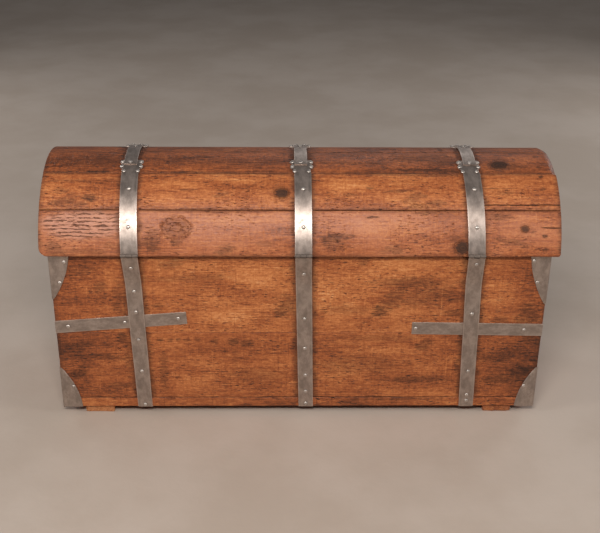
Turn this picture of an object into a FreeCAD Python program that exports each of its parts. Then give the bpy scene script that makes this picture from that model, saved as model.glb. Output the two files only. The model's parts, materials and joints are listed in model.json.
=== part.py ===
"""Wooden chest with a coopered dome lid, iron straps and corner irons.

Millimetres. X runs along the chest, Y across it and Z up. The origin is on the floor under the middle
of the box. The hinge side faces -Y, the opening side +Y. Angles on the lid are in degrees from its
crown, positive towards +Y.
"""
import FreeCAD, Part
import math
import os

# ---------------------------------------------------------------- driving dimensions
LID_LENGTH = 1200.0
LID_DEPTH = 430.0
LID_EDGE_Z = 438.0        # height of the lid's lower edge
LID_RISE = 178.0          # from the lower edge to the crown
LID_SEAT_GAP = 0.5        # between the closed lid and the box's top edge
STAVE_T = 18.0
LID_OVERHANG = 18.0       # lid beyond the box, on all four sides
PLANK_T = 20.0            # long sides of the box
END_BOARD_T = 22.0        # ends of the box and of the lid
BOTTOM_T = 25.0
BOTTOM_BOARDS = 3
PLANK_SEAM_Z = 229.0      # joint between lower and upper plank
SKID_H = 20.0
SKID_W = 73.0
SKID_X = 494.5            # centre of each skid
SKID_SET_BACK = 3.0       # skid ends behind the faces of the box

STRAP_T = 2.5
STRAP_W_LID = 40.0
STRAP_W_FOOT = 36.0
STRAP_TRIM = 0.5          # a box strap is this much narrower at its top, on each side
STRAP_STEP_Z = (200.0, 212.0, 288.0, 300.0)   # where a strap steps out over a band and back
STRAP_STEP_GAP = 0.1      # between the strap and the band under it
OPENING_STRAP_DROP = 6.0  # top of an opening side strap below the box's top edge
IRON_T = 2.0              # corner irons
BAND_T = 1.5              # corner bands
BAND_H = 33.0
CROWN_STRAP_W = 31.0

PIN_R = 2.2               # hinge and hasp pins
BORE_R = 2.25
PIN_OVERHANG = 0.5        # pin beyond the strap's edges
KNUCKLE_R = 4.5
KNUCKLE_CLEAR_R = 5.0     # cut round the other leaf's knuckle
KNUCKLE_W = 13.0
KNUCKLE_GAP = 0.3
KNUCKLE_OUT = 5.65        # pin axis outside the lid's surface
HINGE_AXIS_Z = 443.0
STRAP_MEETS_BOX_Z = 362.0  # below this the body strap lies on the box

RIVET_HEAD_R = 5.3
RIVET_HEAD_H = 3.1
RIVET_SHANK_R = 1.8
RIVET_SHANK_L = 16.0
NAIL_HEAD_R = 2.6
NAIL_HEAD_H = 1.0
NAIL_SHANK_R = 1.3
NAIL_L = 42.0
NAIL_X = 562.0
LID_NAILS = (6.8, 18.3, 27.0, 36.3, 66.2, 74.6)     # degrees from the crown
BOX_NAILS_Z = (70.0, 150.0, 195.0, 290.0, 335.0)

STAVE_JOINTS = (0.0, 24.5, 50.7)   # degrees from the crown, on both sides
HEAD_ANGLE = 18.0                  # middle of a strap's lobed head
STRAP_TOP_ANGLE = 15.0             # end of a lid strap, under the crown strap
CROWN_STRAP_ANGLE = 17.6           # end of a crown strap
PLAIN_END_BACK = 0.5               # degrees between the lid's edge and a lid strap without knuckles

# ---------------------------------------------------------------- worked out from them
HALF_LENGTH = LID_LENGTH / 2 - LID_OVERHANG
HALF_DEPTH = LID_DEPTH / 2 - LID_OVERHANG
BOX_BASE_Z = SKID_H
WALL_BASE_Z = BOX_BASE_Z + BOTTOM_T
BOX_TOP_Z = LID_EDGE_Z - LID_SEAT_GAP
LID_R = ((LID_DEPTH / 2) ** 2 + LID_RISE ** 2) / (2 * LID_RISE)
LID_CENTRE_Z = LID_EDGE_Z + LID_RISE - LID_R
LID_R_IN = LID_R - STAVE_T
LID_HALF_ANGLE = math.degrees(math.asin(LID_DEPTH / 2 / LID_R))
HINGE_AXIS_R = LID_R + KNUCKLE_OUT
HINGE_AXIS_Y = math.sqrt(HINGE_AXIS_R ** 2 - (HINGE_AXIS_Z - LID_CENTRE_Z) ** 2)
HINGE_ANGLE = math.degrees(math.asin(HINGE_AXIS_Y / HINGE_AXIS_R))
HINGE_SIDE = -1
OPENING_SIDE = 1
FAR = 400.0               # longer than any cut needs


class StrapLine:
    """One line of straps round the chest: where its centre runs along X at each height."""

    def __init__(self, name, foot, edge, top, head, crown, box_rivets_z, bands):
        self.name = name
        self.foot = foot            # at the bottom of the box
        self.edge = edge            # at the lid's lower edge
        self.top = top              # below the lobed head
        self.head = head
        self.crown = crown
        self.box_rivets_z = box_rivets_z
        self.bands = bands          # crosses the corner bands


STRAP_LINES = (
    StrapLine("left", -381.0, -393.0, -397.5, -396.0, -399.0, (408.0, 341.0, 287.0, 212.0, 123.0, 27.0), True),
    StrapLine("middle", 16.0, 6.0, 5.0, 2.5, 0.5, (390.0, 268.0, 187.0, 111.0, 65.0, 30.0), False),
    StrapLine("right", 414.5, 405.0, 400.0, 396.0, 399.0, (420.0, 282.0, 122.0, 54.0, 37.0), True),
)
OPENING_RIVETS_Z = (400.0, 312.0, 190.0, 110.0, 34.0)
LID_STRAP_RIVETS = (37.0, 61.2)              # degrees from the crown
HEAD_RIVETS = (                              # along X and up the lid, from the head's middle
    (-22.0, 12.0), (22.0, 12.0), (-22.0, -5.0), (22.0, -5.0), (-16.5, -21.0), (16.5, -21.0),
)
STRAP_OVERRUN = 1.15       # a lid strap's straight cut, against the stretch it trims
HEAD_SKIN = (11.0, 40.0)   # degrees between which a head is cut
HEAD_DOWN = 25.0           # a head's straight part reaches this far below its middle
HEAD_UP = 20.0
HEAD_LOBES = ((18.5, 12.0, 9.0), (18.5, -5.0, 8.5))   # along X, up the lid, radius
CROWN_RIVETS = ((0.0, 15.8), (-10.5, -16.0), (10.5, -16.0), (0.0, -9.0))   # along X, degrees to -Y

IRON_W = 47.0
IRON_TIP_W = 3.0
IRON_BULGE = 8.0           # how far a corner iron's inner edge bows out
UPPER_IRON_H = 117.0
LOWER_IRON_H = 112.0
LOWER_IRON_BULGE = 9.0
END_FLANGE_SCALE = 0.9     # a corner iron's flange on the end, against the one on the long side
UPPER_IRON_RIVETS = ((35.0, 20.0), (21.0, 74.0))   # from the corner, and below the box's top edge
TALL_IRON_H = 130.0                                # the one at the right end of the hinge side
TALL_IRON_RIVETS = ((39.0, 16.0), (26.0, 72.0))
LOWER_IRON_RIVET = (29.0, 60.0)                    # from the corner, and above the box's underside

BANDS = (                 # end, side, height at the corner and at the inner end, length, rivets from the corner
    ("left_hinge_side", -1, -1, 245.0, 270.0, 312.0, (30.0, 165.0, 292.0)),
    ("right_hinge_side", 1, -1, 237.0, 242.0, 314.0, (44.0, 305.0)),
    ("left_opening_side", -1, 1, 240.0, 248.0, 312.0, (30.0, 140.0, 296.0)),
    ("right_opening_side", 1, 1, 238.0, 250.0, 312.0, (30.0, 140.0, 296.0)),
)
BAND_END_LENGTH = 96.0                 # of each band, on the end
BAND_END_RIVET = 70.0                  # from the corner, on the end

HASP_W = 34.0
HASP_T = 2.5
HASP_LENGTH = 116.0       # from its pin to its tip
HASP_SLOT_DOWN = 88.0     # from its pin to the middle of its slot
HASP_SLOT_W = 11.0
HASP_SLOT_L = 40.0
HASP_REST_GAP = 0.8       # between the folded-up hasp and the lid strap
STAPLE_R = 3.0
STAPLE_HALF_H = 10.5      # from the staple's middle to the middle of each leg
STAPLE_IN = 14.0          # leg inside the wood
STAPLE_REACH = 28.5       # from the strap's face to where the bend starts

HANDLE_Z = 285.0          # bail's pivot
HANDLE_PLATE_T = 3.0
HANDLE_PLATE_L = 150.0
HANDLE_PLATE_H = 44.0
BAIL_R = 5.0
BAIL_BORE_R = 5.05
BAIL_OUT = 10.0           # pivot axis from the plate
BAIL_HALF_W = 44.0        # middle line of each leg
BAIL_DROP = 58.0          # pivot to the middle line of the grip
BAIL_BEND_R = 14.0
BAIL_STUB = 16.0          # stub beyond the leg's middle line
EYE_R = 9.0
EYE_L = 9.0
EYE_GAP = 1.0             # between leg and eye
HANDLE_RIVETS_Y = (66.5, 18.0)   # either side of the plate's middle


# ---------------------------------------------------------------- helpers
def vec(x, y, z):
    return FreeCAD.Vector(x, y, z)


def box_between(x0, x1, y0, y1, z0, z1):
    """Rectangular block between two corners."""
    low = vec(min(x0, x1), min(y0, y1), min(z0, z1))
    return Part.makeBox(abs(x1 - x0), abs(y1 - y0), abs(z1 - z0), low)


def face_of(points):
    """Plane face with straight sides."""
    return Part.Face(Part.makePolygon(list(points) + [points[0]]))


def x_cylinder(radius, x0, x1, y, z):
    return Part.makeCylinder(radius, x1 - x0, vec(x0, y, z), vec(1, 0, 0))


def lid_point(radius, angle, x=0.0):
    """Point at a radius and angle about the lid's centre line."""
    a = math.radians(angle)
    return vec(x, radius * math.sin(a), LID_CENTRE_Z + radius * math.cos(a))


def lid_normal(angle):
    a = math.radians(angle)
    return vec(0, math.sin(a), math.cos(a))


def lid_upward(angle, side):
    """Direction along the lid's surface towards the crown, seen from one side."""
    a = math.radians(angle)
    return vec(0, -side * math.cos(a), side * math.sin(a))


def lid_arc(radius, start, end):
    middle = (start + end) / 2
    return Part.Arc(lid_point(radius, start), lid_point(radius, middle), lid_point(radius, end)).toShape()


def lid_shell(r_in, r_out, start, end, x0, x1, start_in=None, end_in=None):
    """Curved piece between two radii and two angles. The inner arc may end at its own angles."""
    start_in = start if start_in is None else start_in
    end_in = end if end_in is None else end_in
    outer = lid_arc(r_out, start, end)
    inner = lid_arc(r_in, end_in, start_in)
    side_a = Part.LineSegment(lid_point(r_out, end), lid_point(r_in, end_in)).toShape()
    side_b = Part.LineSegment(lid_point(r_in, start_in), lid_point(r_out, start)).toShape()
    face = Part.Face(Part.Wire([outer, side_a, inner, side_b]))
    face.translate(vec(x0, 0, 0))
    return face.extrude(vec(x1 - x0, 0, 0))


def on_lid(angle, side, x, outline):
    """Prism through the lid whose section is given along X and up the lid from a point on it."""
    up = lid_upward(angle, side)
    normal = lid_normal(angle)
    base = lid_point(LID_R, angle, x) - normal * (FAR / 4)
    corners = [base + vec(px, 0, 0) + up * py for px, py in outline]
    return face_of(corners).extrude(normal * (FAR / 2))


def strip(path, thickness):
    """Outline of a bent strip of even thickness, from its middle line in Y and Z."""
    left = []
    right = []
    for i, (y, z) in enumerate(path):
        before = path[max(i - 1, 0)]
        after = path[min(i + 1, len(path) - 1)]
        din = unit(y - before[0], z - before[1]) if i > 0 else unit(after[0] - y, after[1] - z)
        dout = unit(after[0] - y, after[1] - z) if i < len(path) - 1 else din
        mid = unit(din[0] + dout[0], din[1] + dout[1])
        half = thickness / 2 / (mid[0] * din[0] + mid[1] * din[1])
        left.append((y - mid[1] * half, z + mid[0] * half))
        right.append((y + mid[1] * half, z - mid[0] * half))
    return left + right[::-1]


def unit(y, z):
    length = math.hypot(y, z)
    return y / length, z / length


def yz_prism(outline, x0, x1):
    return face_of([vec(x0, y, z) for y, z in outline]).extrude(vec(x1 - x0, 0, 0))


def xz_prism(outline):
    """Prism right through the chest along Y, from an outline in X and Z."""
    return face_of([vec(x, -FAR, z) for x, z in outline]).extrude(vec(0, 2 * FAR, 0))


def placed(shape, point, normal):
    """Copy of a shape that was made along +Z at the origin, turned along a normal."""
    copy = shape.copy()
    copy.Placement = FreeCAD.Placement(point, FreeCAD.Rotation(vec(0, 0, 1), normal))
    return copy


def turned(shape, centre, axis, degrees):
    copy = shape.copy()
    copy.rotate(centre, axis, degrees)
    return copy


def save(name, shape):
    """Write one sub-part, after making sure that every solid in it is sound."""
    for solid in shape.Solids:
        if not solid.isValid() or solid.Volume <= 0:
            raise ValueError(name + " has an unsound solid")
    shape.exportStep("parts/" + name + ".step")
    print(name, len(shape.Solids), round(shape.Volume / 1000, 1))


# ---------------------------------------------------------------- box: wood
def long_side_plank(side, z0, z1):
    return box_between(-HALF_LENGTH, HALF_LENGTH, side * (HALF_DEPTH - PLANK_T), side * HALF_DEPTH, z0, z1)


def box_end_board(end):
    inner_y = HALF_DEPTH - PLANK_T
    return box_between(end * (HALF_LENGTH - END_BOARD_T), end * HALF_LENGTH, -inner_y, inner_y,
                       WALL_BASE_Z, BOX_TOP_Z)


def bottom_board(index):
    width = 2 * HALF_DEPTH / BOTTOM_BOARDS
    y0 = -HALF_DEPTH + index * width
    return box_between(-HALF_LENGTH, HALF_LENGTH, y0, y0 + width, BOX_BASE_Z, WALL_BASE_Z)


def skid(end):
    half_y = HALF_DEPTH - SKID_SET_BACK
    x = end * SKID_X
    return box_between(x - SKID_W / 2, x + SKID_W / 2, -half_y, half_y, 0, SKID_H)


# ---------------------------------------------------------------- box: ironwork
def corner_flange(outline, end, side, thickness, on_end):
    """One flange of a corner piece. The outline gives distance from the corner, and height."""
    if on_end:
        face = face_of([vec(end * HALF_LENGTH, side * (HALF_DEPTH - d), z) for d, z in outline])
        return face.extrude(vec(end * thickness, 0, 0))
    face = face_of([vec(end * (HALF_LENGTH - d), side * HALF_DEPTH, z) for d, z in outline])
    return face.extrude(vec(0, side * thickness, 0))


def iron_outline(width, height, bulge, z_wide, direction, start):
    """Wide at z_wide, narrowing along a bowed edge to a tip, height away in the given direction."""
    steps = 10
    dx = IRON_TIP_W - width
    length = math.hypot(dx, height)
    points = [(start, z_wide)]
    for i in range(steps + 1):
        t = i / steps
        bow = bulge * 4 * t * (1 - t)
        across = width + dx * t + bow * height / length
        rise = height * t - bow * dx / length
        points.append((across, z_wide + direction * rise))
    points.append((start, z_wide + direction * height))
    return points


def corner_iron(end, side, height, bulge, z_wide, direction):
    on_side = iron_outline(IRON_W, height, bulge, z_wide, direction, -IRON_T)
    on_end = iron_outline(IRON_W * END_FLANGE_SCALE, height, bulge, z_wide, direction, 0.0)
    flange = corner_flange(on_side, end, side, IRON_T, False)
    return flange.fuse(corner_flange(on_end, end, side, IRON_T, True)).removeSplitter()


def corner_band(end, side, z_corner, z_inner, length):
    """Flat band lying level on the end and sloping from z_corner to z_inner on the long side."""
    half = BAND_H / 2
    slope = (z_inner - z_corner) / length
    z_start = z_corner - slope * BAND_T
    on_side = [(-BAND_T, z_start - half), (length, z_inner - half), (length, z_inner + half),
               (-BAND_T, z_start + half)]
    on_end = [(0.0, z_start - half), (BAND_END_LENGTH, z_start - half),
              (BAND_END_LENGTH, z_start + half), (0.0, z_start + half)]
    flange = corner_flange(on_side, end, side, BAND_T, False)
    return flange.fuse(corner_flange(on_end, end, side, BAND_T, True)).removeSplitter()


def box_strap_path(line, top):
    """Middle line of a body strap in distance outwards from the middle, and height."""
    lying = HALF_DEPTH + STRAP_T / 2
    lifted = lying + BAND_T + STRAP_STEP_GAP
    path = [(lying, BOX_BASE_Z)]
    if line.bands:
        path += zip((lying, lifted, lifted, lying), STRAP_STEP_Z)
    path += [(lying, STRAP_MEETS_BOX_Z)]
    return path + [top]


def out_at(path, z):
    """Distance outwards of a strap's middle line at a height, and the strip's lean there."""
    for (y0, z0), (y1, z1) in zip(path, path[1:]):
        if z0 <= z <= z1:
            return y0 + (y1 - y0) * (z - z0) / (z1 - z0), math.atan2(y1 - y0, z1 - z0)
    raise ValueError("height is off the strap")


def strap_outline(x_foot, x_top, z_top):
    half_foot = STRAP_W_FOOT / 2
    half_top = STRAP_W_LID / 2 - STRAP_TRIM
    return [(x_foot - half_foot, BOX_BASE_Z - 1), (x_foot + half_foot, BOX_BASE_Z - 1),
            (x_top + half_top, z_top), (x_top - half_top, z_top)]


def knuckle_spans(x, outer):
    """X ranges of the knuckles of one leaf: the outer two, or the middle one."""
    half = KNUCKLE_W / 2
    reach = STRAP_W_LID / 2 - STRAP_TRIM
    if outer:
        return [(x - reach, x - half - KNUCKLE_GAP), (x + half + KNUCKLE_GAP, x + reach)]
    return [(x - half, x + half)]


def with_knuckles(leaf, x, side, outer):
    """Join a leaf's own knuckles to it, clear the other leaf's, and bore it for the pin."""
    y = side * HINGE_AXIS_Y
    for x0, x1 in knuckle_spans(x, not outer):
        leaf = leaf.cut(x_cylinder(KNUCKLE_CLEAR_R, x0 - KNUCKLE_GAP, x1 + KNUCKLE_GAP, y, HINGE_AXIS_Z))
    for x0, x1 in knuckle_spans(x, outer):
        leaf = leaf.fuse(x_cylinder(KNUCKLE_R, x0, x1, y, HINGE_AXIS_Z))
    reach = STRAP_W_LID
    return leaf.cut(x_cylinder(BORE_R, x - reach, x + reach, y, HINGE_AXIS_Z))


def hinge_strap_path(line):
    return box_strap_path(line, (HINGE_AXIS_Y, HINGE_AXIS_Z))


def box_hinge_strap(line):
    path = [(-y, z) for y, z in hinge_strap_path(line)]
    body = yz_prism(strip(path, STRAP_T), line.edge - FAR / 4, line.edge + FAR / 4)
    body = body.common(xz_prism(strap_outline(line.foot, line.edge, HINGE_AXIS_Z + KNUCKLE_R)))
    return with_knuckles(body, line.edge, HINGE_SIDE, True)


def opening_strap_path(line):
    return box_strap_path(line, (HALF_DEPTH + STRAP_T / 2, BOX_TOP_Z - OPENING_STRAP_DROP))


def box_opening_strap(line):
    outline = strip(opening_strap_path(line), STRAP_T)
    body = yz_prism(outline, line.crown - FAR / 4, line.crown + FAR / 4)
    return body.common(xz_prism(strap_outline(line.crown, line.crown, BOX_TOP_Z)))


def pin(x, side):
    reach = STRAP_W_LID / 2 + PIN_OVERHANG
    return x_cylinder(PIN_R, x - reach, x + reach, side * HINGE_AXIS_Y, HINGE_AXIS_Z)


# ---------------------------------------------------------------- lid
def stave(index, side):
    """Stave between two joints. The lowest one ends square at the lid's lower edge."""
    low = STAVE_JOINTS[index]
    half = LID_LENGTH / 2
    if index + 1 < len(STAVE_JOINTS):
        high = STAVE_JOINTS[index + 1]
        return lid_shell(LID_R_IN, LID_R, side * low, side * high, -half, half)
    high = LID_HALF_ANGLE
    high_in = math.degrees(math.acos((LID_EDGE_Z - LID_CENTRE_Z) / LID_R_IN))
    return lid_shell(LID_R_IN, LID_R, side * low, side * high, -half, half, end_in=side * high_in)


def lid_end_board(end):
    disc = Part.makeCylinder(LID_R_IN, END_BOARD_T, vec(-END_BOARD_T / 2, 0, LID_CENTRE_Z), vec(1, 0, 0))
    disc.translate(vec(end * (HALF_LENGTH - END_BOARD_T / 2), 0, 0))
    above = box_between(-LID_LENGTH, LID_LENGTH, -FAR, FAR, LID_EDGE_Z, LID_EDGE_Z + FAR)
    return disc.common(above)


def lid_strap(x_edge, x_top, x_head, side, knuckles):
    """Lid strap from the lower edge up to its lobed head. knuckles is "middle", "outer" or None."""
    low_angle = HINGE_ANGLE if knuckles else LID_HALF_ANGLE - PLAIN_END_BACK
    skin = lid_shell(LID_R, LID_R + STRAP_T, side * STRAP_TOP_ANGLE, side * low_angle, -LID_LENGTH, LID_LENGTH)
    half = STRAP_W_LID / 2
    middle_angle = (low_angle + HEAD_ANGLE) / 2
    reach = LID_R * math.sin(math.radians((low_angle - HEAD_ANGLE) / 2))
    beyond = STRAP_OVERRUN * reach
    grow = (x_edge - x_top) * (beyond - reach) / (2 * reach)
    shaft = [(x_edge + grow - half, -beyond), (x_edge + grow + half, -beyond), (x_top + half, reach),
             (x_top - half, reach)]
    body = skin.common(on_lid(side * middle_angle, side, 0.0, shaft))
    block = [(-half, -HEAD_DOWN), (half, -HEAD_DOWN), (half, HEAD_UP), (-half, HEAD_UP)]
    head = on_lid(side * HEAD_ANGLE, side, x_head, block)
    normal = lid_normal(side * HEAD_ANGLE)
    up = lid_upward(side * HEAD_ANGLE, side)
    for lobe_x, lobe_up, radius in HEAD_LOBES:
        for direction in (-1, 1):
            base = lid_point(LID_R, side * HEAD_ANGLE, x_head + direction * lobe_x) + up * lobe_up
            head = head.fuse(Part.makeCylinder(radius, FAR / 4, base - normal * (FAR / 8), normal))
    skin_from, skin_to = (side * a for a in HEAD_SKIN)
    head_skin = lid_shell(LID_R, LID_R + STRAP_T, skin_from, skin_to, -LID_LENGTH, LID_LENGTH)
    body = body.fuse(head_skin.common(head)).removeSplitter()
    if knuckles:
        body = with_knuckles(body, x_edge, side, knuckles == "outer")
    return body


def crown_strap(line):
    r_in = LID_R + STRAP_T
    x0 = line.crown - CROWN_STRAP_W / 2
    return lid_shell(r_in, r_in + STRAP_T, -CROWN_STRAP_ANGLE, CROWN_STRAP_ANGLE, x0, x0 + CROWN_STRAP_W)


# ---------------------------------------------------------------- hasp and staple
def hasp_rest_turn():
    """How far the hasp turns from hanging straight down to lying against the lid strap."""
    touch = LID_R + STRAP_T + HASP_REST_GAP + HASP_T / 2
    lean = math.degrees(math.acos(touch / HINGE_AXIS_R))
    return 180.0 + (90.0 - HINGE_ANGLE) + lean


def hasp(line):
    x = line.edge
    y = HINGE_AXIS_Y
    straight = HASP_LENGTH - HASP_W / 2
    y0 = y - HASP_T / 2
    plate = box_between(x - HASP_W / 2, x + HASP_W / 2, y0, y0 + HASP_T, HINGE_AXIS_Z - straight, HINGE_AXIS_Z)
    tip = Part.makeCylinder(HASP_W / 2, HASP_T, vec(x, y0, HINGE_AXIS_Z - straight), vec(0, 1, 0))
    body = plate.fuse(tip).removeSplitter()
    slot_z = HINGE_AXIS_Z - HASP_SLOT_DOWN
    flat = HASP_SLOT_L / 2 - HASP_SLOT_W / 2
    slot = box_between(x - HASP_SLOT_W / 2, x + HASP_SLOT_W / 2, y - FAR, y + FAR, slot_z - flat, slot_z + flat)
    for z in (slot_z - flat, slot_z + flat):
        slot = slot.fuse(Part.makeCylinder(HASP_SLOT_W / 2, 2 * FAR, vec(x, y - FAR, z), vec(0, 1, 0)))
    body = with_knuckles(body.cut(slot), x, OPENING_SIDE, False)
    return turned(body, vec(x, y, HINGE_AXIS_Z), vec(1, 0, 0), hasp_rest_turn())


def rod_along(points_and_arcs, radius):
    """Round rod along a wire of joined edges."""
    wire = Part.Wire(points_and_arcs)
    start = wire.Edges[0].valueAt(wire.Edges[0].FirstParameter)
    direction = wire.Edges[0].tangentAt(wire.Edges[0].FirstParameter)
    ring = Part.Wire([Part.Circle(start, direction, radius).toShape()])
    return wire.makePipeShell([ring], True, True)


def staple(line):
    z = HINGE_AXIS_Z - HASP_SLOT_DOWN
    y_in = HALF_DEPTH - STAPLE_IN
    y_bend = HALF_DEPTH + STRAP_T + STAPLE_REACH - STAPLE_HALF_H
    low = z - STAPLE_HALF_H
    high = z + STAPLE_HALF_H
    x = line.edge
    bend = Part.Arc(vec(x, y_bend, low), vec(x, y_bend + STAPLE_HALF_H, z), vec(x, y_bend, high)).toShape()
    lower = Part.LineSegment(vec(x, y_in, low), vec(x, y_bend, low)).toShape()
    upper = Part.LineSegment(vec(x, y_bend, high), vec(x, y_in, high)).toShape()
    return rod_along([lower, bend, upper], STAPLE_R)


# ---------------------------------------------------------------- end handles
def pivot_x(end):
    return end * (HALF_LENGTH + HANDLE_PLATE_T + BAIL_OUT)


def handle_plate(end):
    x0 = end * HALF_LENGTH
    x1 = x0 + end * HANDLE_PLATE_T
    half_l = HANDLE_PLATE_L / 2
    half_h = HANDLE_PLATE_H / 2
    plate = box_between(x0, x1, -half_l + half_h, half_l - half_h, HANDLE_Z - half_h, HANDLE_Z + half_h)
    for y in (-half_l + half_h, half_l - half_h):
        plate = plate.fuse(Part.makeCylinder(half_h, HANDLE_PLATE_T, vec(x0, y, HANDLE_Z), vec(end, 0, 0)))
    plate = plate.removeSplitter()
    for side in (-1, 1):
        y_near = side * (BAIL_HALF_W + BAIL_R + EYE_GAP)
        y_far = y_near + side * EYE_L
        centre = vec(pivot_x(end), y_near, HANDLE_Z)
        eye = Part.makeCylinder(EYE_R, EYE_L, centre, vec(0, side, 0))
        eye = eye.fuse(box_between(x1, pivot_x(end), y_near, y_far, HANDLE_Z - EYE_R, HANDLE_Z + EYE_R))
        eye = eye.cut(Part.makeCylinder(BAIL_BORE_R, EYE_L, centre, vec(0, side, 0)))
        plate = plate.fuse(eye)
    return plate


def bail(end):
    """Drop handle: a bent rod whose ends turn outwards through the eyes."""
    x = pivot_x(end)
    r = BAIL_BEND_R
    k = r * (1 - math.sqrt(0.5))
    low = HANDLE_Z - BAIL_DROP
    stub_y = BAIL_HALF_W + BAIL_STUB
    half = []
    for side in (-1, 1):
        leg = side * BAIL_HALF_W
        bend_top = vec(x, leg, low + r)
        bend_end = vec(x, leg - side * r, low)
        grip = Part.Arc(bend_top, vec(x, leg - side * k, low + k), bend_end).toShape()
        upright = Part.LineSegment(vec(x, leg, HANDLE_Z), vec(x, leg, low + r)).toShape()
        half.append([upright, grip])
    across = Part.LineSegment(vec(x, -BAIL_HALF_W + r, low), vec(x, BAIL_HALF_W - r, low)).toShape()
    rod = rod_along([half[0][0], half[0][1], across, half[1][1], half[1][0]], BAIL_R)
    for side in (-1, 1):
        leg = vec(x, side * BAIL_HALF_W, HANDLE_Z)
        rod = rod.fuse(Part.makeSphere(BAIL_R, leg))
        rod = rod.fuse(Part.makeCylinder(BAIL_R, stub_y - BAIL_HALF_W, leg, vec(0, side, 0)))
    return rod


# ---------------------------------------------------------------- fasteners
def rivet_template():
    """Round-headed rivet along +Z, the underside of its head at the origin."""
    ball_r = (RIVET_HEAD_R ** 2 + RIVET_HEAD_H ** 2) / (2 * RIVET_HEAD_H)
    ball = Part.makeSphere(ball_r, vec(0, 0, RIVET_HEAD_H - ball_r))
    head = ball.common(box_between(-ball_r, ball_r, -ball_r, ball_r, 0, RIVET_HEAD_H + 1))
    return head.fuse(Part.makeCylinder(RIVET_SHANK_R, RIVET_SHANK_L, vec(0, 0, -RIVET_SHANK_L)))


def nail_template():
    """Nail along +Z, its flat head flush with the origin."""
    head = Part.makeCylinder(NAIL_HEAD_R, NAIL_HEAD_H, vec(0, 0, -NAIL_HEAD_H))
    return head.fuse(Part.makeCylinder(NAIL_SHANK_R, NAIL_L, vec(0, 0, -NAIL_L)))


def strap_rivet_places(line, path, side, x_foot, x_top, heights):
    places = []
    for z in heights:
        out, lean = out_at(path, z)
        normal = vec(0, side * math.cos(lean), -math.sin(lean))
        x = x_foot + (x_top - x_foot) * (z - BOX_BASE_Z) / (HINGE_AXIS_Z - BOX_BASE_Z)
        places.append((vec(x, side * out, z) + normal * (STRAP_T / 2), normal))
    return places


def upper_iron_spec(end, side):
    """Height and rivets of the upper corner iron at a corner."""
    if end == 1 and side == HINGE_SIDE:
        return TALL_IRON_H, TALL_IRON_RIVETS
    return UPPER_IRON_H, UPPER_IRON_RIVETS


def iron_rivet_places():
    """Two rivets in each flange of the upper corner irons, one in each flange of the lower ones."""
    places = []
    for end in (-1, 1):
        for side in (-1, 1):
            spots = [(d, BOX_TOP_Z - down) for d, down in upper_iron_spec(end, side)[1]]
            spots.append((LOWER_IRON_RIVET[0], BOX_BASE_Z + LOWER_IRON_RIVET[1]))
            for d, z in spots:
                on_side = vec(end * (HALF_LENGTH - d), side * (HALF_DEPTH + IRON_T), z)
                places.append((on_side, vec(0, side, 0)))
                d_end = d * END_FLANGE_SCALE
                on_end = vec(end * (HALF_LENGTH + IRON_T), side * (HALF_DEPTH - d_end), z)
                places.append((on_end, vec(end, 0, 0)))
    return places


def band_rivet_places():
    places = []
    for _, end, side, z_corner, z_inner, length, distances in BANDS:
        for d in distances:
            z = z_corner + (z_inner - z_corner) * d / length
            places.append((vec(end * (HALF_LENGTH - d), side * (HALF_DEPTH + BAND_T), z), vec(0, side, 0)))
        end_y = side * (HALF_DEPTH - BAND_END_RIVET)
        places.append((vec(end * (HALF_LENGTH + BAND_T), end_y, z_corner), vec(end, 0, 0)))
    return places


def handle_rivet_places():
    places = []
    for end in (-1, 1):
        x = end * (HALF_LENGTH + HANDLE_PLATE_T)
        for y in HANDLE_RIVETS_Y:
            for side in (-1, 1):
                places.append((vec(x, side * y, HANDLE_Z), vec(end, 0, 0)))
    return places


def box_rivets():
    places = iron_rivet_places() + band_rivet_places() + handle_rivet_places()
    for line in STRAP_LINES:
        hinge_path = hinge_strap_path(line)
        places += strap_rivet_places(line, hinge_path, HINGE_SIDE, line.foot, line.edge, line.box_rivets_z)
        path = opening_strap_path(line)
        places += strap_rivet_places(line, path, OPENING_SIDE, line.crown, line.crown, OPENING_RIVETS_Z)
    template = rivet_template()
    return Part.makeCompound([placed(template, point, normal) for point, normal in places])


def lid_rivets():
    template = rivet_template()
    rivets = []
    for line in STRAP_LINES:
        for side in (-1, 1):
            x_low = line.edge if side == HINGE_SIDE else opening_x(line)
            x_high = line.top if side == HINGE_SIDE else line.crown
            for angle in LID_STRAP_RIVETS:
                x = x_low + (x_high - x_low) * (HINGE_ANGLE - angle) / (HINGE_ANGLE - HEAD_ANGLE)
                a = side * angle
                rivets.append(placed(template, lid_point(LID_R + STRAP_T, a, x), lid_normal(a)))
            x_head = line.head if side == HINGE_SIDE else line.crown
            for dx, up in HEAD_RIVETS:
                a = side * (HEAD_ANGLE - math.degrees(math.asin(up / LID_R)))
                rivets.append(placed(template, lid_point(LID_R + STRAP_T, a, x_head + dx), lid_normal(a)))
        for dx, towards_hinge in CROWN_RIVETS:
            a = HINGE_SIDE * towards_hinge
            rivets.append(placed(template, lid_point(LID_R + 2 * STRAP_T, a, line.crown + dx), lid_normal(a)))
    return Part.makeCompound(rivets)


def box_nails():
    """Nails through the long sides into the end boards."""
    template = nail_template()
    nails = []
    for end in (-1, 1):
        for side in (-1, 1):
            for z in BOX_NAILS_Z:
                point = vec(end * (HALF_LENGTH - END_BOARD_T / 2), side * HALF_DEPTH, z)
                nails.append(placed(template, point, vec(0, side, 0)))
    return Part.makeCompound(nails)


def lid_nails():
    """Two nails through each end of each stave into the lid's end boards."""
    template = nail_template()
    nails = []
    for end in (-1, 1):
        for side in (-1, 1):
            for angle in LID_NAILS:
                a = side * angle
                nails.append(placed(template, lid_point(LID_R, a, end * NAIL_X), lid_normal(a)))
    return Part.makeCompound(nails)


def opening_x(line):
    """Centre of a strap line on the opening side, where it runs straight up and down."""
    return line.edge if line.name == "middle" else line.crown


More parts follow.
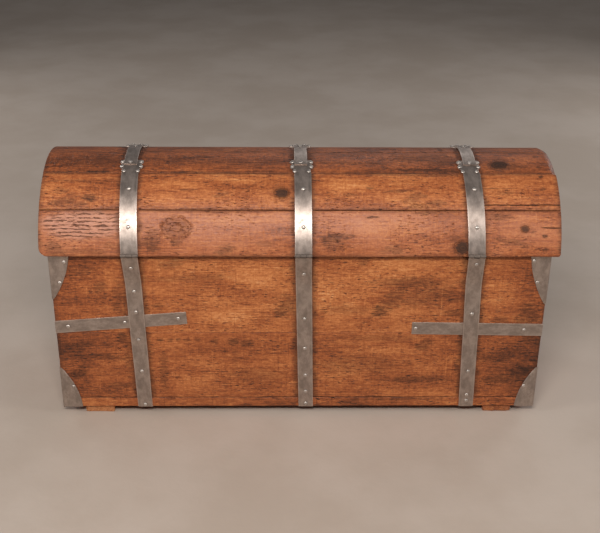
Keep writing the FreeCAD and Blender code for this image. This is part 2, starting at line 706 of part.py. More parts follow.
# ---------------------------------------------------------------- write the sub-parts
def main():
    os.makedirs("parts", exist_ok=True)
    for side, name in ((HINGE_SIDE, "hinge_side"), (OPENING_SIDE, "opening_side")):
        save(name + "_lower_plank", long_side_plank(side, WALL_BASE_Z, PLANK_SEAM_Z))
        save(name + "_upper_plank", long_side_plank(side, PLANK_SEAM_Z, BOX_TOP_Z))
        for index, place in enumerate(("crown", "shoulder", "edge")):
            save("lid_" + place + "_stave_" + name, stave(index, side))
    for end, name in ((-1, "left"), (1, "right")):
        save(name + "_end_board", box_end_board(end))
        save("lid_" + name + "_end_board", lid_end_board(end))
        save(name + "_skid", skid(end))
        save(name + "_handle_plate", handle_plate(end))
        save(name + "_bail", bail(end))
        for side, side_name in ((HINGE_SIDE, "hinge_side"), (OPENING_SIDE, "opening_side")):
            height = upper_iron_spec(end, side)[0]
            upper = corner_iron(end, side, height, IRON_BULGE, BOX_TOP_Z, -1)
            save("upper_iron_" + name + "_" + side_name, upper)
            lower = corner_iron(end, side, LOWER_IRON_H, LOWER_IRON_BULGE, BOX_BASE_Z, 1)
            save("lower_iron_" + name + "_" + side_name, lower)
    for index, name in enumerate(("hinge_side", "middle", "opening_side")):
        save("bottom_board_" + name, bottom_board(index))
    for name, end, side, z_corner, z_inner, length, _ in BANDS:
        save("corner_band_" + name, corner_band(end, side, z_corner, z_inner, length))
    for line in STRAP_LINES:
        x = opening_x(line)
        hasp_knuckles = "outer" if line.name == "middle" else None
        save("box_hinge_strap_" + line.name, box_hinge_strap(line))
        save("lid_hinge_strap_" + line.name, lid_strap(line.edge, line.top, line.head, HINGE_SIDE, "middle"))
        save("box_front_strap_" + line.name, box_opening_strap(line))
        save("lid_front_strap_" + line.name, lid_strap(x, line.crown, line.crown, OPENING_SIDE, hasp_knuckles))
        save("crown_strap_" + line.name, crown_strap(line))
    middle = STRAP_LINES[1]
    save("hinge_pins", Part.makeCompound([pin(line.edge, HINGE_SIDE) for line in STRAP_LINES]))
    save("hasp_pin", pin(middle.edge, OPENING_SIDE))
    save("hasp", hasp(middle))
    save("staple", staple(middle))
    save("box_rivets", box_rivets())
    save("lid_rivets", lid_rivets())
    save("box_nails", box_nails())
    save("lid_nails", lid_nails())
    print("hinge axis", round(HINGE_AXIS_Y, 3), HINGE_AXIS_Z, "hasp turn", round(hasp_rest_turn(), 2))


main()
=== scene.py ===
import json
import math

import bpy
import numpy as np
from mathutils import Matrix, Vector, noise


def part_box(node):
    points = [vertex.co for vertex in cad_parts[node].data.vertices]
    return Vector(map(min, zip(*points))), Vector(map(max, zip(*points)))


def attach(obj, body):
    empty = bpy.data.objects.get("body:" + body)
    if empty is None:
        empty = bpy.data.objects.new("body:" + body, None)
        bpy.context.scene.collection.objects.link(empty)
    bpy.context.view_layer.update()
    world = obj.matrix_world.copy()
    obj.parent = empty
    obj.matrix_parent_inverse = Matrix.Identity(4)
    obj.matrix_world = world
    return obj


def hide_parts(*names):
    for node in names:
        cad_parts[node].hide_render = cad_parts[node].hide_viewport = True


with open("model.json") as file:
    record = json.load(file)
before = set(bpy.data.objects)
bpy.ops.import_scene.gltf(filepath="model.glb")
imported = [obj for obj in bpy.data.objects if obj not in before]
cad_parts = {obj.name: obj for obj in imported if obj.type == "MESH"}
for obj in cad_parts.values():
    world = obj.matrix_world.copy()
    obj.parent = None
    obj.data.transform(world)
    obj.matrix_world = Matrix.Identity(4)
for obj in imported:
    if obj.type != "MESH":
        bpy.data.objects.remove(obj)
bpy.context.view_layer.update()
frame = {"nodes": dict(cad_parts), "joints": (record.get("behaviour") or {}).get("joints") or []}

# ---------------------------------------------------------------- sizes read from the frame
HALF_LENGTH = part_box("hinge_side_upper_plank")[1].x
HALF_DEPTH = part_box("opening_side_upper_plank")[1].y
BOX_TOP_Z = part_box("hinge_side_upper_plank")[1].z
SEAM_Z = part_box("hinge_side_upper_plank")[0].z
WALL_BASE_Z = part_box("hinge_side_lower_plank")[0].z
BOX_BASE_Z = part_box("bottom_board_middle")[0].z
PLANK_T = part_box("hinge_side_upper_plank")[1].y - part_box("hinge_side_upper_plank")[0].y
END_BOARD_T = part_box("right_end_board")[1].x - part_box("right_end_board")[0].x
LID_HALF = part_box("lid_crown_stave_hinge_side")[1].x
LID_HALF_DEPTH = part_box("lid_edge_stave_opening_side")[1].y
LID_EDGE_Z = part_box("lid_edge_stave_hinge_side")[0].z
LID_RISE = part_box("lid_crown_stave_hinge_side")[1].z - LID_EDGE_Z
LID_R = (LID_HALF_DEPTH ** 2 + LID_RISE ** 2) / (2 * LID_RISE)
LID_CENTRE_Z = LID_EDGE_Z + LID_RISE - LID_R
LID_R_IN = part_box("lid_left_end_board")[1].z - LID_CENTRE_Z
STAVE_T = LID_R - LID_R_IN
LID_HALF_ANGLE = math.degrees(math.asin(LID_HALF_DEPTH / LID_R))


def find_joint(name):
    return next(joint for joint in frame["joints"] if joint["name"] == name)


HINGE_Y = abs(find_joint("lid_hinge")["pos_m"][1])
HINGE_Z = find_joint("lid_hinge")["pos_m"][2]
HINGE_ANGLE = math.degrees(math.atan2(HINGE_Y, HINGE_Z - LID_CENTRE_Z))

# ---------------------------------------------------------------- sizes of the design
SIDES = ((-1, "hinge_side"), (1, "opening_side"))
ENDS = ((-1, "left"), (1, "right"))
CORNER_TURN = [math.radians(a) for a in (0, 30, 60, 90)]
BOARD_STEP = 0.012        # mesh spacing of a board
BOARD_GAP = 0.0001        # a board is this much short of its neighbours
FACE_DIP = 0.0007         # unevenness of a board's face
CLEAN_EDGE = 0.03         # moves the dirt of a board's edge out of sight
END_BOARD_CUTS_Z = (0.168, 0.301)   # joints between the three boards of a box end
LID_END_BOARD_H = 0.078   # lower of the two boards of a lid end
PLANK_NAIL_X = 0.571
STAVE_NAIL_X = 0.562
STAVE_NAIL_ANGLES = (6.8, 18.3, 27.0, 36.3, 66.2, 74.6)
STRAP_T = 0.0025
STRAP_HALF = 0.020
STRAP_HALF_FOOT = 0.018
IRON_T = 0.002
BAND_T = 0.0015
BAND_H = 0.033
PIN_R = 0.0022
KNUCKLE_R = 0.0045
KNUCKLE_HALF = 0.0065     # half length of a hinge's middle knuckle
KNUCKLE_REACH = 0.0195    # from the middle of a hinge to its outer end
KNUCKLE_GAP = 0.0003
KNUCKLE_TRIM = 0.0001
IN_BARREL = -0.01         # stand-off that marks a barrel's surface, which the iron's material paints darker (painted shade)
FIT_GAP = 0.00005         # between iron and what it lies on
STRAP_MEETS_BOX_Z = 0.362
STRAP_STEP_Z = (0.200, 0.212, 0.288, 0.300)   # where a strap steps out over a band and back
STAVE_JOINTS = (0.0, 24.5, 50.7)
HEAD_ANGLE = 18.0
CROWN_STRAP_ANGLE = 17.6
CROWN_STRAP_HALF = 0.0155
HEAD_LOBES = ((0.0185, 0.012, 0.009), (0.0185, -0.005, 0.0085))   # along X, up the lid, radius
STRAP_LINES = {           # X at the foot, the lid's edge, below the head, at the head and on the crown
    "left": (-0.381, -0.393, -0.3975, -0.396, -0.399),
    "middle": (0.016, 0.006, 0.005, 0.0025, 0.0005),
    "right": (0.4145, 0.405, 0.400, 0.396, 0.399),
}
BANDS = {                 # height at the corner and at the inner end, length
    "left_hinge_side": (0.245, 0.270, 0.312),
    "right_hinge_side": (0.237, 0.242, 0.314),
    "left_opening_side": (0.240, 0.248, 0.312),
    "right_opening_side": (0.238, 0.250, 0.312),
}
BAND_END_LENGTH = 0.096
TALL_IRON_H = 0.130       # upper iron at the right end of the hinge side
UPPER_IRON_H = 0.117
UPPER_IRON_BOW = 0.008
LOWER_IRON_H = 0.112
LOWER_IRON_BOW = 0.009
IRON_W = 0.047            # corner iron, at its wide end
IRON_TIP = 0.003          # and at its narrow end
IRON_BEND_R = 0.0032
END_FLANGE = 0.9          # width of an iron's flange on the box end, for 1 on the long side
HASP_W = 0.034
HASP_T = 0.0025
HASP_LENGTH = 0.116
HASP_SLOT_DOWN = 0.088
HASP_SLOT = (0.020, 0.0055)
HASP_REST_GAP = 0.0008    # between the folded hasp and the strap under it
HANDLE_PLATE_T = 0.003
HANDLE_PLATE_HALF = (0.0748, 0.0218)
EYE_R = 0.0089
EYE_BORE_R = 0.00508
EYE_NEAR_Y = 0.0502
EYE_T = 0.0086
RIVET_R = 0.0052
RIVET_H = 0.0031


def wave(x, y, z):
    """Smooth noise between -1 and 1."""
    return noise.noise(Vector((x, y, z)))


def ripple(x, y, z):
    """Smooth noise between 0 and 1."""
    return 0.5 + 0.5 * wave(x, y, z)


def arc(degrees):
    """Length along the lid's surface from the crown."""
    return LID_R * math.radians(degrees)


# ---------------------------------------------------------------- node building
class Sock:
    """A material node's output that can be used in sums."""

    def __init__(self, tree, out):
        self.tree = tree
        self.out = out

    def __add__(self, other):
        return maths(self.tree, "ADD", self, other)

    def __sub__(self, other):
        return maths(self.tree, "SUBTRACT", self, other)

    def __mul__(self, other):
        return maths(self.tree, "MULTIPLY", self, other)

    def __truediv__(self, other):
        return maths(self.tree, "DIVIDE", self, other)

    __radd__ = __add__
    __rmul__ = __mul__

    def __rsub__(self, other):
        return maths(self.tree, "SUBTRACT", other, self)

    def power(self, exponent):
        return maths(self.tree, "POWER", self, exponent)

    def most(self, other):
        return maths(self.tree, "MAXIMUM", self, other)

    def least(self, other):
        return maths(self.tree, "MINIMUM", self, other)

    def size(self):
        return maths(self.tree, "ABSOLUTE", self)

    def fraction(self):
        return maths(self.tree, "FRACT", self)

    def root(self):
        return maths(self.tree, "SQRT", self)

    def step(self, start, end, low=0.0, high=1.0):
        """Smooth change from low to high as the value goes from start to end."""
        node = self.tree.nodes.new("ShaderNodeMapRange")
        node.interpolation_type = "SMOOTHSTEP"
        self.tree.links.new(self.out, node.inputs["Value"])
        for socket, value in (("From Min", start), ("From Max", end), ("To Min", low), ("To Max", high)):
            node.inputs[socket].default_value = value
        return Sock(self.tree, node.outputs["Result"])


def plug(tree, socket, value):
    if isinstance(value, Sock):
        tree.links.new(value.out, socket)
    else:
        socket.default_value = value


def maths(tree, operation, *values):
    node = tree.nodes.new("ShaderNodeMath")
    node.operation = operation
    for socket, value in zip(node.inputs, values):
        plug(tree, socket, value)
    return Sock(tree, node.outputs[0])


def joined(tree, x, y, z):
    node = tree.nodes.new("ShaderNodeCombineXYZ")
    for socket, value in zip(node.inputs, (x, y, z)):
        plug(tree, socket, value)
    return Sock(tree, node.outputs[0])


def speckle(tree, x, y, z, detail, rough=0.55, distortion=0.0):
    """Noise texture at coordinates that already carry their scale."""
    node = tree.nodes.new("ShaderNodeTexNoise")
    node.inputs["Scale"].default_value = 1.0
    node.inputs["Detail"].default_value = detail
    node.inputs["Roughness"].default_value = rough
    node.inputs["Distortion"].default_value = distortion
    tree.links.new(joined(tree, x, y, z).out, node.inputs["Vector"])
    return Sock(tree, node.outputs["Fac"])


def blend(tree, factor, first, second):
    """Colour between two others, each a socket or an RGB tuple."""
    node = tree.nodes.new("ShaderNodeMix")
    node.data_type = "RGBA"
    plug(tree, node.inputs["Factor"], factor)
    for socket, value in ((node.inputs[6], first), (node.inputs[7], second)):
        plug(tree, socket, value if isinstance(value, Sock) else (*value, 1.0))
    return Sock(tree, node.outputs[2])


def ramp(tree, value, stops):
    node = tree.nodes.new("ShaderNodeValToRGB")
    tree.links.new(value.out, node.inputs["Fac"])
    elements = node.color_ramp.elements
    while len(elements) < len(stops):
        elements.new(0.5)
    for element, (place, colour) in zip(elements, stops):
        element.position = place
        element.color = (*colour, 1.0)
    return Sock(tree, node.outputs["Color"])


def new_material(name):
    """Material with its tree, its main shader and the three coordinates of the piece it is on."""
    material = bpy.data.materials.new(name)
    material.use_nodes = True
    tree = material.node_tree
    shader = tree.nodes["Principled BSDF"]
    place = tree.nodes.new("ShaderNodeAttribute")
    place.attribute_name = "place"
    parts = tree.nodes.new("ShaderNodeSeparateXYZ")
    tree.links.new(place.outputs["Vector"], parts.inputs[0])
    return material, tree, shader, [Sock(tree, out) for out in parts.outputs]


def finish_material(tree, shader, colour, roughness, height, depth):
    plug(tree, shader.inputs["Base Color"], colour)
    plug(tree, shader.inputs["Roughness"], roughness)
    bump = tree.nodes.new("ShaderNodeBump")
    bump.inputs["Strength"].default_value = 1.0
    bump.inputs["Distance"].default_value = depth
    plug(tree, bump.inputs["Height"], height)
    tree.links.new(bump.outputs["Normal"], shader.inputs["Normal"])


# ---------------------------------------------------------------- wood
def make_group(name, inputs, outputs, build):
    """Reusable group of nodes. build takes a socket per input and gives one per output."""
    tree = bpy.data.node_groups.new(name, "ShaderNodeTree")
    for label in inputs:
        tree.interface.new_socket(label, in_out="INPUT", socket_type="NodeSocketFloat")
    for label in outputs:
        tree.interface.new_socket(label, in_out="OUTPUT", socket_type="NodeSocketFloat")
    first = tree.nodes.new("NodeGroupInput")
    last = tree.nodes.new("NodeGroupOutput")
    results = build(*[Sock(tree, out) for out in first.outputs[:len(inputs)]])
    for socket, result in zip(last.inputs, results):
        tree.links.new(result.out, socket)
    return tree


def use(tree, group, *values):
    """Outputs of a group in a material's tree, for these inputs."""
    node = tree.nodes.new("ShaderNodeGroup")
    node.node_tree = group
    for socket, value in zip(node.inputs, values):
        plug(tree, socket, value)
    return [Sock(tree, out) for out in node.outputs]


def measure_away(u, v, mark_u, mark_v, ru, rv, c, s):
    du = u - mark_u
    dv = v - mark_v
    along = (du * c + dv * s) / ru
    across = (dv * c - du * s) / rv
    return [(along * along + across * across).root()]


def bend_flow(v, d, mark_v):
    return [(v - mark_v) / (d * d + 0.6) * -0.75]


def shade_stain_and_shadow(d, ragged, soil, dark, strength):
    here = (d + (ragged - 0.5) * 3.4 + (soil - 0.5) * 1.8).step(1.30, 0.64)
    return [dark.most(here * (ragged.step(0.56, 0.36) * 0.50 + 0.50) * strength)]


def shade_knot(d, ragged, dark, strength, hollow):
    wobbly = d + (ragged - 0.5) * 1.0
    core = wobbly.step(1.0, 0.62)
    halo = wobbly.step(1.9, 1.0) - core
    loops = (d * 3.4 + ragged * 0.9).fraction().step(0.2, 0.9) * core
    darker = dark.most(core * strength * 0.90 + loops * strength * 0.10 + halo * strength * 0.28)
    return [darker, hollow.most(wobbly.step(1.12, 0.98) - wobbly.step(0.96, 0.82))]


def shade_burr(d, ragged, soil, dark, strength, hollow):
    wobbly = d + (soil - 0.5) * 1.5 + (ragged - 0.5) * 0.5
    inside = wobbly.step(1.10, 0.70)
    loops = ((wobbly * 2.3 + ragged * 0.8).fraction() - 0.5).size().step(0.36, 0.49) * soil.step(0.58, 0.40)
    rim = (wobbly.step(1.12, 1.02) - wobbly.step(0.99, 0.90)) * soil.step(0.44, 0.58)
    darker = dark.most(inside * (loops * 0.35 + 0.34) * strength).most(rim * strength * 0.55)
    return [darker, hollow.most(inside * loops * 0.5).most(rim * 0.6)]


def shade_ribs(d, soil, ribs, dark, strength, hollow):
    here = (d + (soil - 0.5) * 0.8).step(1.05, 0.62)
    return [dark.most(here * ribs * strength), hollow.most(here * ribs * 1.3), here]


def grow_grain(u, v, w, flow, shift, middle, lean):
    """Textures every board shares: rings, streaks, dirt and saw marks."""
    tree = u.tree
    drift = speckle(tree, u * 2.0 + shift, v * 6.0, w * 6.0, 2.0)
    flow = flow + (drift - 0.5) * 0.014
    across = flow + w * 0.6
    off_pith = flow - middle
    deep = w + 0.055
    ring_r = (off_pith * off_pith + deep * deep).root() + u * lean
    rings = (ring_r * 230.0 + speckle(tree, u * 6.0 + shift, ring_r * 90.0, 0.0, 3.0) * 1.8).fraction()
    late = rings.power(3.0) * rings.step(1.0, 0.86)
    late = late * speckle(tree, u * 4.5 - shift, v * 20.0, w * 20.0, 3.0).step(0.40, 0.66)
    streak = speckle(tree, u * 24.0 + shift, across * 230.0, w * 90.0, 7.0, 0.70, 0.08)
    fibre = speckle(tree, u * 90.0 + shift, across * 560.0, w * 280.0, 4.0, 0.70)
    cloud = speckle(tree, u * 5.0 + shift, v * 13.0, w * 13.0, 5.0, 0.66)
    grime = speckle(tree, u * 110.0 - shift, v * 150.0, w * 150.0, 5.0, 0.78)
    dash = speckle(tree, u * 60.0 + shift * 2.0, across * 330.0, w * 120.0, 4.0, 0.62).step(0.575, 0.66)
    dash = dash * speckle(tree, u * 8.0, v * 20.0, shift, 3.0).step(0.42, 0.58)
    saw = speckle(tree, u * 300.0, v * 14.0, shift, 3.0, 0.65)
    saw_mark = saw.step(0.56, 0.72) - saw.step(0.44, 0.28)
    soil = speckle(tree, u * 18.0, v * 48.0, shift + 5.0, 5.0, 0.70)
    ragged = speckle(tree, u * 48.0 + shift, v * 230.0, 1.0, 5.0, 0.78)
    rows = (across * 118.0 + (soil - 0.5) * 1.9 + (ragged - 0.5) * 0.8).fraction()
    broken = speckle(tree, u * 38.0 + shift, across * 190.0, 2.0, 4.0, 0.66).step(0.46, 0.55)
    ribs = (rows - 0.5).size().step(0.25, 0.42) * broken
    return [late, streak, fibre, cloud, grime, dash, saw_mark, soil, ragged, ribs]


AWAY = make_group("away", ("u", "v", "mark_u", "mark_v", "ru", "rv", "c", "s"), ("d",), measure_away)
FLOW = make_group("bend_flow", ("v", "d", "mark_v"), ("push",), bend_flow)
STAIN_AND_SHADOW = make_group("stain", ("d", "ragged", "soil", "dark", "strength"), ("dark",), shade_stain_and_shadow)
KNOT = make_group("knot", ("d", "ragged", "dark", "strength", "hollow"), ("dark", "hollow"), shade_knot)
BURR = make_group("burr", ("d", "ragged", "soil", "dark", "strength", "hollow"), ("dark", "hollow"),
                  shade_burr)
RIBS = make_group("ribs", ("d", "soil", "ribs", "dark", "strength", "hollow"), ("dark", "hollow", "here"),
                  shade_ribs)
GRAIN = make_group("grain", ("u", "v", "w", "flow", "shift", "middle", "lean"), (
    "late", "streak", "fibre", "cloud", "grime", "dash", "saw_mark", "soil", "ragged", "ribs"), grow_grain)


class Mark:
    """A stain, smudge, knot or painted shadow on a board: its middle, half sizes along and across the grain,
    and tilt.
    """

    def __init__(self, u, v, ru, rv, dark=0.6, tilt=0.0, kind="stain"):
        self.u = u
        self.v = v
        self.ru = ru
        self.rv = rv
        self.dark = dark
        self.tilt = tilt
        self.kind = kind

    def away(self, tree, u, v):
        """Distance from the mark's middle: 0 there and 1 on its outline."""
        turn = math.radians(self.tilt)
        return use(tree, AWAY, u, v, self.u, self.v, self.ru, self.rv, math.cos(turn), math.sin(turn))[0]


def box_marks(*rows):
    return tuple(Mark(*row) for row in rows)


def lid_marks(*rows):
    """Marks whose place across the grain is in degrees from the lid's crown."""
    return tuple(Mark(u, arc(angle), *rest) for u, angle, *rest in rows)


def wood(name, seed, tone, extent, marks, straps=(), nails=(), cracks=(), contrast=1.0, red=0.0,
         edge_dirt=0.5, ends=0.0):
    """Old stained pine. tone is the mean brightness, extent the (u0, u1, v0, v1) whose edges are dirty,
    and ends the painted shade that darkens the board towards its ends. A crack is (from, to, place across,
    lean)."""
    material, tree, shader, (u, v, w) = new_material(name)
    u0, u1, v0, v1 = extent

    # the grain bends round the knots
    flow = v
    for mark in marks:
        if mark.kind == "knot":
            flow = flow + use(tree, FLOW, v, mark.away(tree, u, v), mark.v)[0]
    middle = (v0 + v1) / 2 + 0.02 * math.sin(seed * 2.1)
    late, streak, fibre, cloud, grime, dash, saw_mark, soil, ragged, ribs = use(
        tree, GRAIN, u, v, w, flow, seed * 3.7, middle, 0.006 * math.cos(seed))
    level = tone + (streak - 0.5) * (0.62 * contrast) + (fibre - 0.5) * (0.62 * contrast)
    level = level - streak.step(0.43, 0.33) * (0.17 * contrast) + streak.step(0.60, 0.70) * 0.07
    level = level + (cloud - 0.5) * 0.85 + (grime - 0.5) * 0.80 + saw_mark * 0.095
    level = level - late * (0.20 * contrast) - dash * 0.40
    # painted shade: the light falls off towards the board's ends
    if ends:
        level = level - u.size().step(0.36, 0.60) * ends

    # dirt along the board's edges, painted shade with some dirt next to the straps, and dirt round the
    # nails: it stays near the outer face
    skin = w.step(0.012, 0.005)
    to_edge = (v - v0).least(v1 - v).least((u - u0).least(u1 - u) * 0.6)
    edge = (to_edge + (soil - 0.5) * 0.016).step(0.009, -0.001)
    dark = edge * edge_dirt
    # painted contact shade, with some dirt, in a band next to each strap
    for x0, slope, half in straps:
        off = (u - x0 - v * slope).size() - half
        dark = dark.most((off + (soil - 0.5) * 0.034).step(0.015, -0.002) * skin * 0.60)
    for nail_u, nail_v in nails:
        nail = Mark(nail_u, nail_v, 0.0062, 0.0042)
        dark = use(tree, STAIN_AND_SHADOW, nail.away(tree, u, v), ragged, soil, dark, 0.85)[0]

    here = None
    hollow = edge * 0.4
    for mark in marks:
        d = mark.away(tree, u, v)
        if mark.kind == "knot":
            dark, hollow = use(tree, KNOT, d, ragged, dark, mark.dark, hollow)
        elif mark.kind == "burr":
            dark, hollow = use(tree, BURR, d, ragged, soil, dark, skin * mark.dark, hollow)
        elif mark.kind == "ribbed":
            dark, hollow, here = use(tree, RIBS, d, soil, ribs, dark, skin * mark.dark, hollow)
            # painted sheen: the ribbed patch is lightened
            level = level + here * 0.06
        elif mark.kind == "light":
            level = level + (d + (ragged - 0.5) * 1.2).step(1.0, 0.4) * mark.dark
        else:
            # a stain, or a painted shadow like those next to the crown straps
            dark = use(tree, STAIN_AND_SHADOW, d, ragged, soil, dark, skin * mark.dark)[0]
    for start, end, at, lean in cracks:
        off = (v - at - (u - start) * lean + (soil - 0.5) * 0.006).size()
        line = off.step(0.0016, 0.0004) * u.step(start, start + 0.02) * u.step(end, end - 0.02)
        dark = dark.most(line * 0.9)
        hollow = hollow.most(line * 1.6)

    colour = ramp(tree, level, (
        (0.02, (0.040, 0.015, 0.009)),
        (0.28, (0.150, 0.043, 0.017)),
        (0.52, (0.345, 0.096, 0.030)),
        (0.76, (0.560, 0.200, 0.064)),
        (1.00, (0.720, 0.350, 0.150)),
    ))
    if red:
        colour = blend(tree, cloud.step(0.3, 0.7) * red, colour, (0.40, 0.145, 0.085))
    # painted sheen: the ribbed patch is tinted pale pink where it catches the light
    if here is not None:
        colour = blend(tree, here * 0.5, colour, (0.55, 0.28, 0.20))
    colour = blend(tree, dark, colour, (0.030, 0.020, 0.016))
    roughness = 0.40 + (grime - 0.5) * 0.30 + dark * 0.20 + (streak - 0.5) * 0.15
    height = streak * 0.30 + fibre * 0.35 + grime * 0.40 + saw_mark * 0.14
    height = height - late * 0.30 - dash * 0.8 - hollow * 1.1
    finish_material(tree, shader, colour, roughness, height, 0.0012)
    plug(tree, shader.inputs["Specular IOR Level"], 0.34 - dark * 0.24)
    return material


# ---------------------------------------------------------------- iron
def iron(name, seed, colour, spread, rough, rust=0.25, brushed=0.6, depth=0.0004, worn=0.0, skirt=False):
    """Old sheet or forged iron: lengthwise wear, dull patches and small pits, maybe with lighter edges,
    partly wear and partly painted highlight (worn), or with painted shade and grime round the foot of a
    rivet's head (skirt)."""
    material, tree, shader, (along, across, out) = new_material(name)
    shift = seed * 2.9
    patch = speckle(tree, along * 30.0 + shift, across * 46.0, out * 40.0, 6.0, 0.68)
    mottle = speckle(tree, along * 150.0 + shift, across * 170.0, out * 150.0, 4.0, 0.65)
    lines = speckle(tree, along * 10.0 + shift, across * 420.0, out * 200.0, 4.0, 0.62)
    fine = speckle(tree, along * 380.0, across * 420.0, out * 380.0 + shift, 3.0, 0.6)
    pits = fine.step(0.64, 0.76)
    light = tuple(min(1.0, c * (1 + spread)) for c in colour)
    dim = tuple(c * (1 - spread) for c in colour)
    shade = blend(tree, patch.step(0.34, 0.66), dim, light)
    shade = blend(tree, mottle.step(0.46, 0.70) * 0.30, shade, dim)
    shade = blend(tree, lines.step(0.35, 0.70) * (0.34 * brushed), shade, dim)
    shade = blend(tree, pits * 0.40, shade, (0.06, 0.045, 0.035))
    stain = speckle(tree, along * 55.0 - shift, across * 60.0, out * 60.0, 5.0, 0.72).step(0.55, 0.72)
    shade = blend(tree, stain * rust, shade, (0.15, 0.085, 0.050))
    # lighter edges: partly wear, partly a painted highlight where the edges catch the light
    if worn:
        rim = (across.size() + (mottle - 0.5) * 0.004).step(0.0165, 0.0192)
        shade = blend(tree, rim * worn, shade, tuple(min(1.0, c * 1.7) for c in colour))
    # painted shade: barrels are painted darker so they show no highlight at the lid's edge; they are also
    # made rougher
    barrel = out.step(-0.004, -0.008)
    shade = blend(tree, barrel * 0.8, shade, (0.16, 0.13, 0.11))
    # painted shade with grime: darker round the foot of a rivet's head
    if skirt:
        shade = blend(tree, out.step(0.0012, 0.0028) * 0.85, shade, (0.05, 0.038, 0.03))
    roughness = rough + (patch - 0.5) * 0.24 + (mottle - 0.5) * 0.16 + stain * 0.12
    roughness = roughness + lines * (0.06 * brushed)
    height = patch * 0.35 + mottle * 0.25 + lines * (0.20 * brushed) - pits * 0.35 + fine * 0.12
    finish_material(tree, shader, shade, roughness + barrel * 0.35, height, depth)
    shader.inputs["Metallic"].default_value = 0.92
    return material


# ---------------------------------------------------------------- meshes
def loft(rings, closed=False):
    """Vertices and faces of a tube through rings with the same number of points, capped unless closed."""
    rings = np.asarray(rings, float)
    count, around = rings.shape[:2]
    faces = []
    for i in range(count if closed else count - 1):
        a = i * around
        b = ((i + 1) % count) * around
        for j in range(around):
            k = (j + 1) % around
            faces.append((a + j, a + k, b + k, b + j))
    if not closed:
        faces.append(tuple(range(around - 1, -1, -1)))
        faces.append(tuple((count - 1) * around + j for j in range(around)))
    return rings.reshape(-1, 3), faces


def shell(rows, closed=False):
    """(verts, faces, places) of a tube through rows of (point, place), capped unless closed."""
    verts, faces = loft([[point for point, _ in row] for row in rows], closed)
    return verts, faces, np.array([place for row in rows for _, place in row], float)


def merged(parts):
    """One (verts, faces, places) from several."""
    verts = []
    faces = []
    places = []
    start = 0
    for part_verts, part_faces, part_places in parts:
        part_faces = outward(part_verts, part_faces)
        verts.append(part_verts)
        places.append(part_places)
        faces += [tuple(i + start for i in face) for face in part_faces]
        start += len(part_verts)
    return np.concatenate(verts), faces, np.concatenate(places)


def outward(verts, faces):
    """The faces, turned over if they enclose a negative volume."""
    corners = np.array([(face[0], face[i], face[i + 1]) for face in faces for i in range(1, len(face) - 1)])
    a, b, c = (verts[corners[:, i]] for i in range(3))
    volume = (a * np.cross(b, c)).sum()
    return faces if volume > 0 else [face[::-1] for face in faces]


def piece(name, parts, body, nodes, slot, material, sharp=38.0):
    """Object from one or several (verts, faces, places) on a body, standing for CAD nodes."""
    verts, faces, places = merged(parts)
    mesh = bpy.data.meshes.new(name)
    mesh.from_pydata(verts.tolist(), [], faces)
    data = mesh.attributes.new("place", "FLOAT_VECTOR", "POINT").data
    data.foreach_set("vector", places.astype(np.float32).ravel())
    mesh.shade_smooth()
    mesh.set_sharp_from_angle(angle=math.radians(sharp))
    mesh.materials.append(material)
    obj = bpy.data.objects.new(name, mesh)
    bpy.context.scene.collection.objects.link(obj)
    normals = obj.modifiers.new("even_normals", "WEIGHTED_NORMAL")
    normals.keep_sharp = True
    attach(obj, body)
    if nodes:
        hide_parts(*nodes)
    return obj


def rounded_section(low, high, top, base, radius, along_face, on_side):
    """Points round a rectangle with round corners: across it and down from its outer face."""
    left, right, upper, lower = low + radius, high - radius, top + radius, base - radius
    face = [left + (right - left) * i / along_face for i in range(along_face + 1)]
    down = [upper + (lower - upper) * i / on_side for i in range(1, on_side)]
    points = [(v, top) for v in face]
    points += [(right + radius * math.sin(a), upper - radius * math.cos(a)) for a in CORNER_TURN[1:]]
    points += [(high, w) for w in down]
    points += [(right + radius * math.cos(a), lower + radius * math.sin(a)) for a in CORNER_TURN]
    points += [(v, base) for v in face[-2::-1]]
    points += [(left - radius * math.sin(a), lower + radius * math.cos(a)) for a in CORNER_TURN[1:]]
    points += [(low, w) for w in reversed(down)]
    points += [(left - radius * math.cos(a), upper - radius * math.sin(a)) for a in CORNER_TURN[:-1]]
    return points


def board(extent, thickness, place, seed, radius=0.0020, waver=0.0007, reshape=None,
          across_step=BOARD_STEP):
    """A worn board. place turns (along, across, depth) into a point; reshape may move them first."""
    u0, u1, v0, v1 = extent
    ends = [(radius * (1 - math.cos(a)), radius * (1 - math.sin(a))) for a in CORNER_TURN]
    count = max(2, round((u1 - u0) / BOARD_STEP))
    span = u1 - u0 - 2 * radius
    stations = [(u0 + e, inset) for e, inset in ends]
    stations += [(u0 + radius + span * i / count, 0.0) for i in range(1, count)]
    stations += [(u1 - e, inset) for e, inset in reversed(ends)]
    across = max(3, round((v1 - v0) / across_step))
    rows = []
    for u, inset in stations:
        low = v0 + inset + waver * ripple(u * 9.0, seed, 0.3) + BOARD_GAP
        high = v1 - inset - waver * ripple(u * 9.0, seed, 7.7) - BOARD_GAP
        r = max(radius * (1.0 + 0.5 * wave(u * 14.0, seed, 3.1)) - inset, 0.0003)
        row = []
        for v, w in rounded_section(low, high, inset, thickness - inset, r, across, 2):
            if w < thickness / 2:
                w += FACE_DIP * ripple(u * 5.0, v * 22.0, seed + 0.5)
            local = reshape(u, v, w) if reshape else (u, v, w)
            row.append((place(*local), local))
        rows.append(row)
    return shell(rows)


# ---------------------------------------------------------------- box boards
# Marks: middle along and across the grain, half sizes along and across, darkness, tilt, kind.
def on_long_side(side):
    return lambda u, v, w: (u, side * (HALF_DEPTH - w), v)


def on_box_end(end):
    return lambda u, v, w: (end * (HALF_LENGTH - w), u, v)


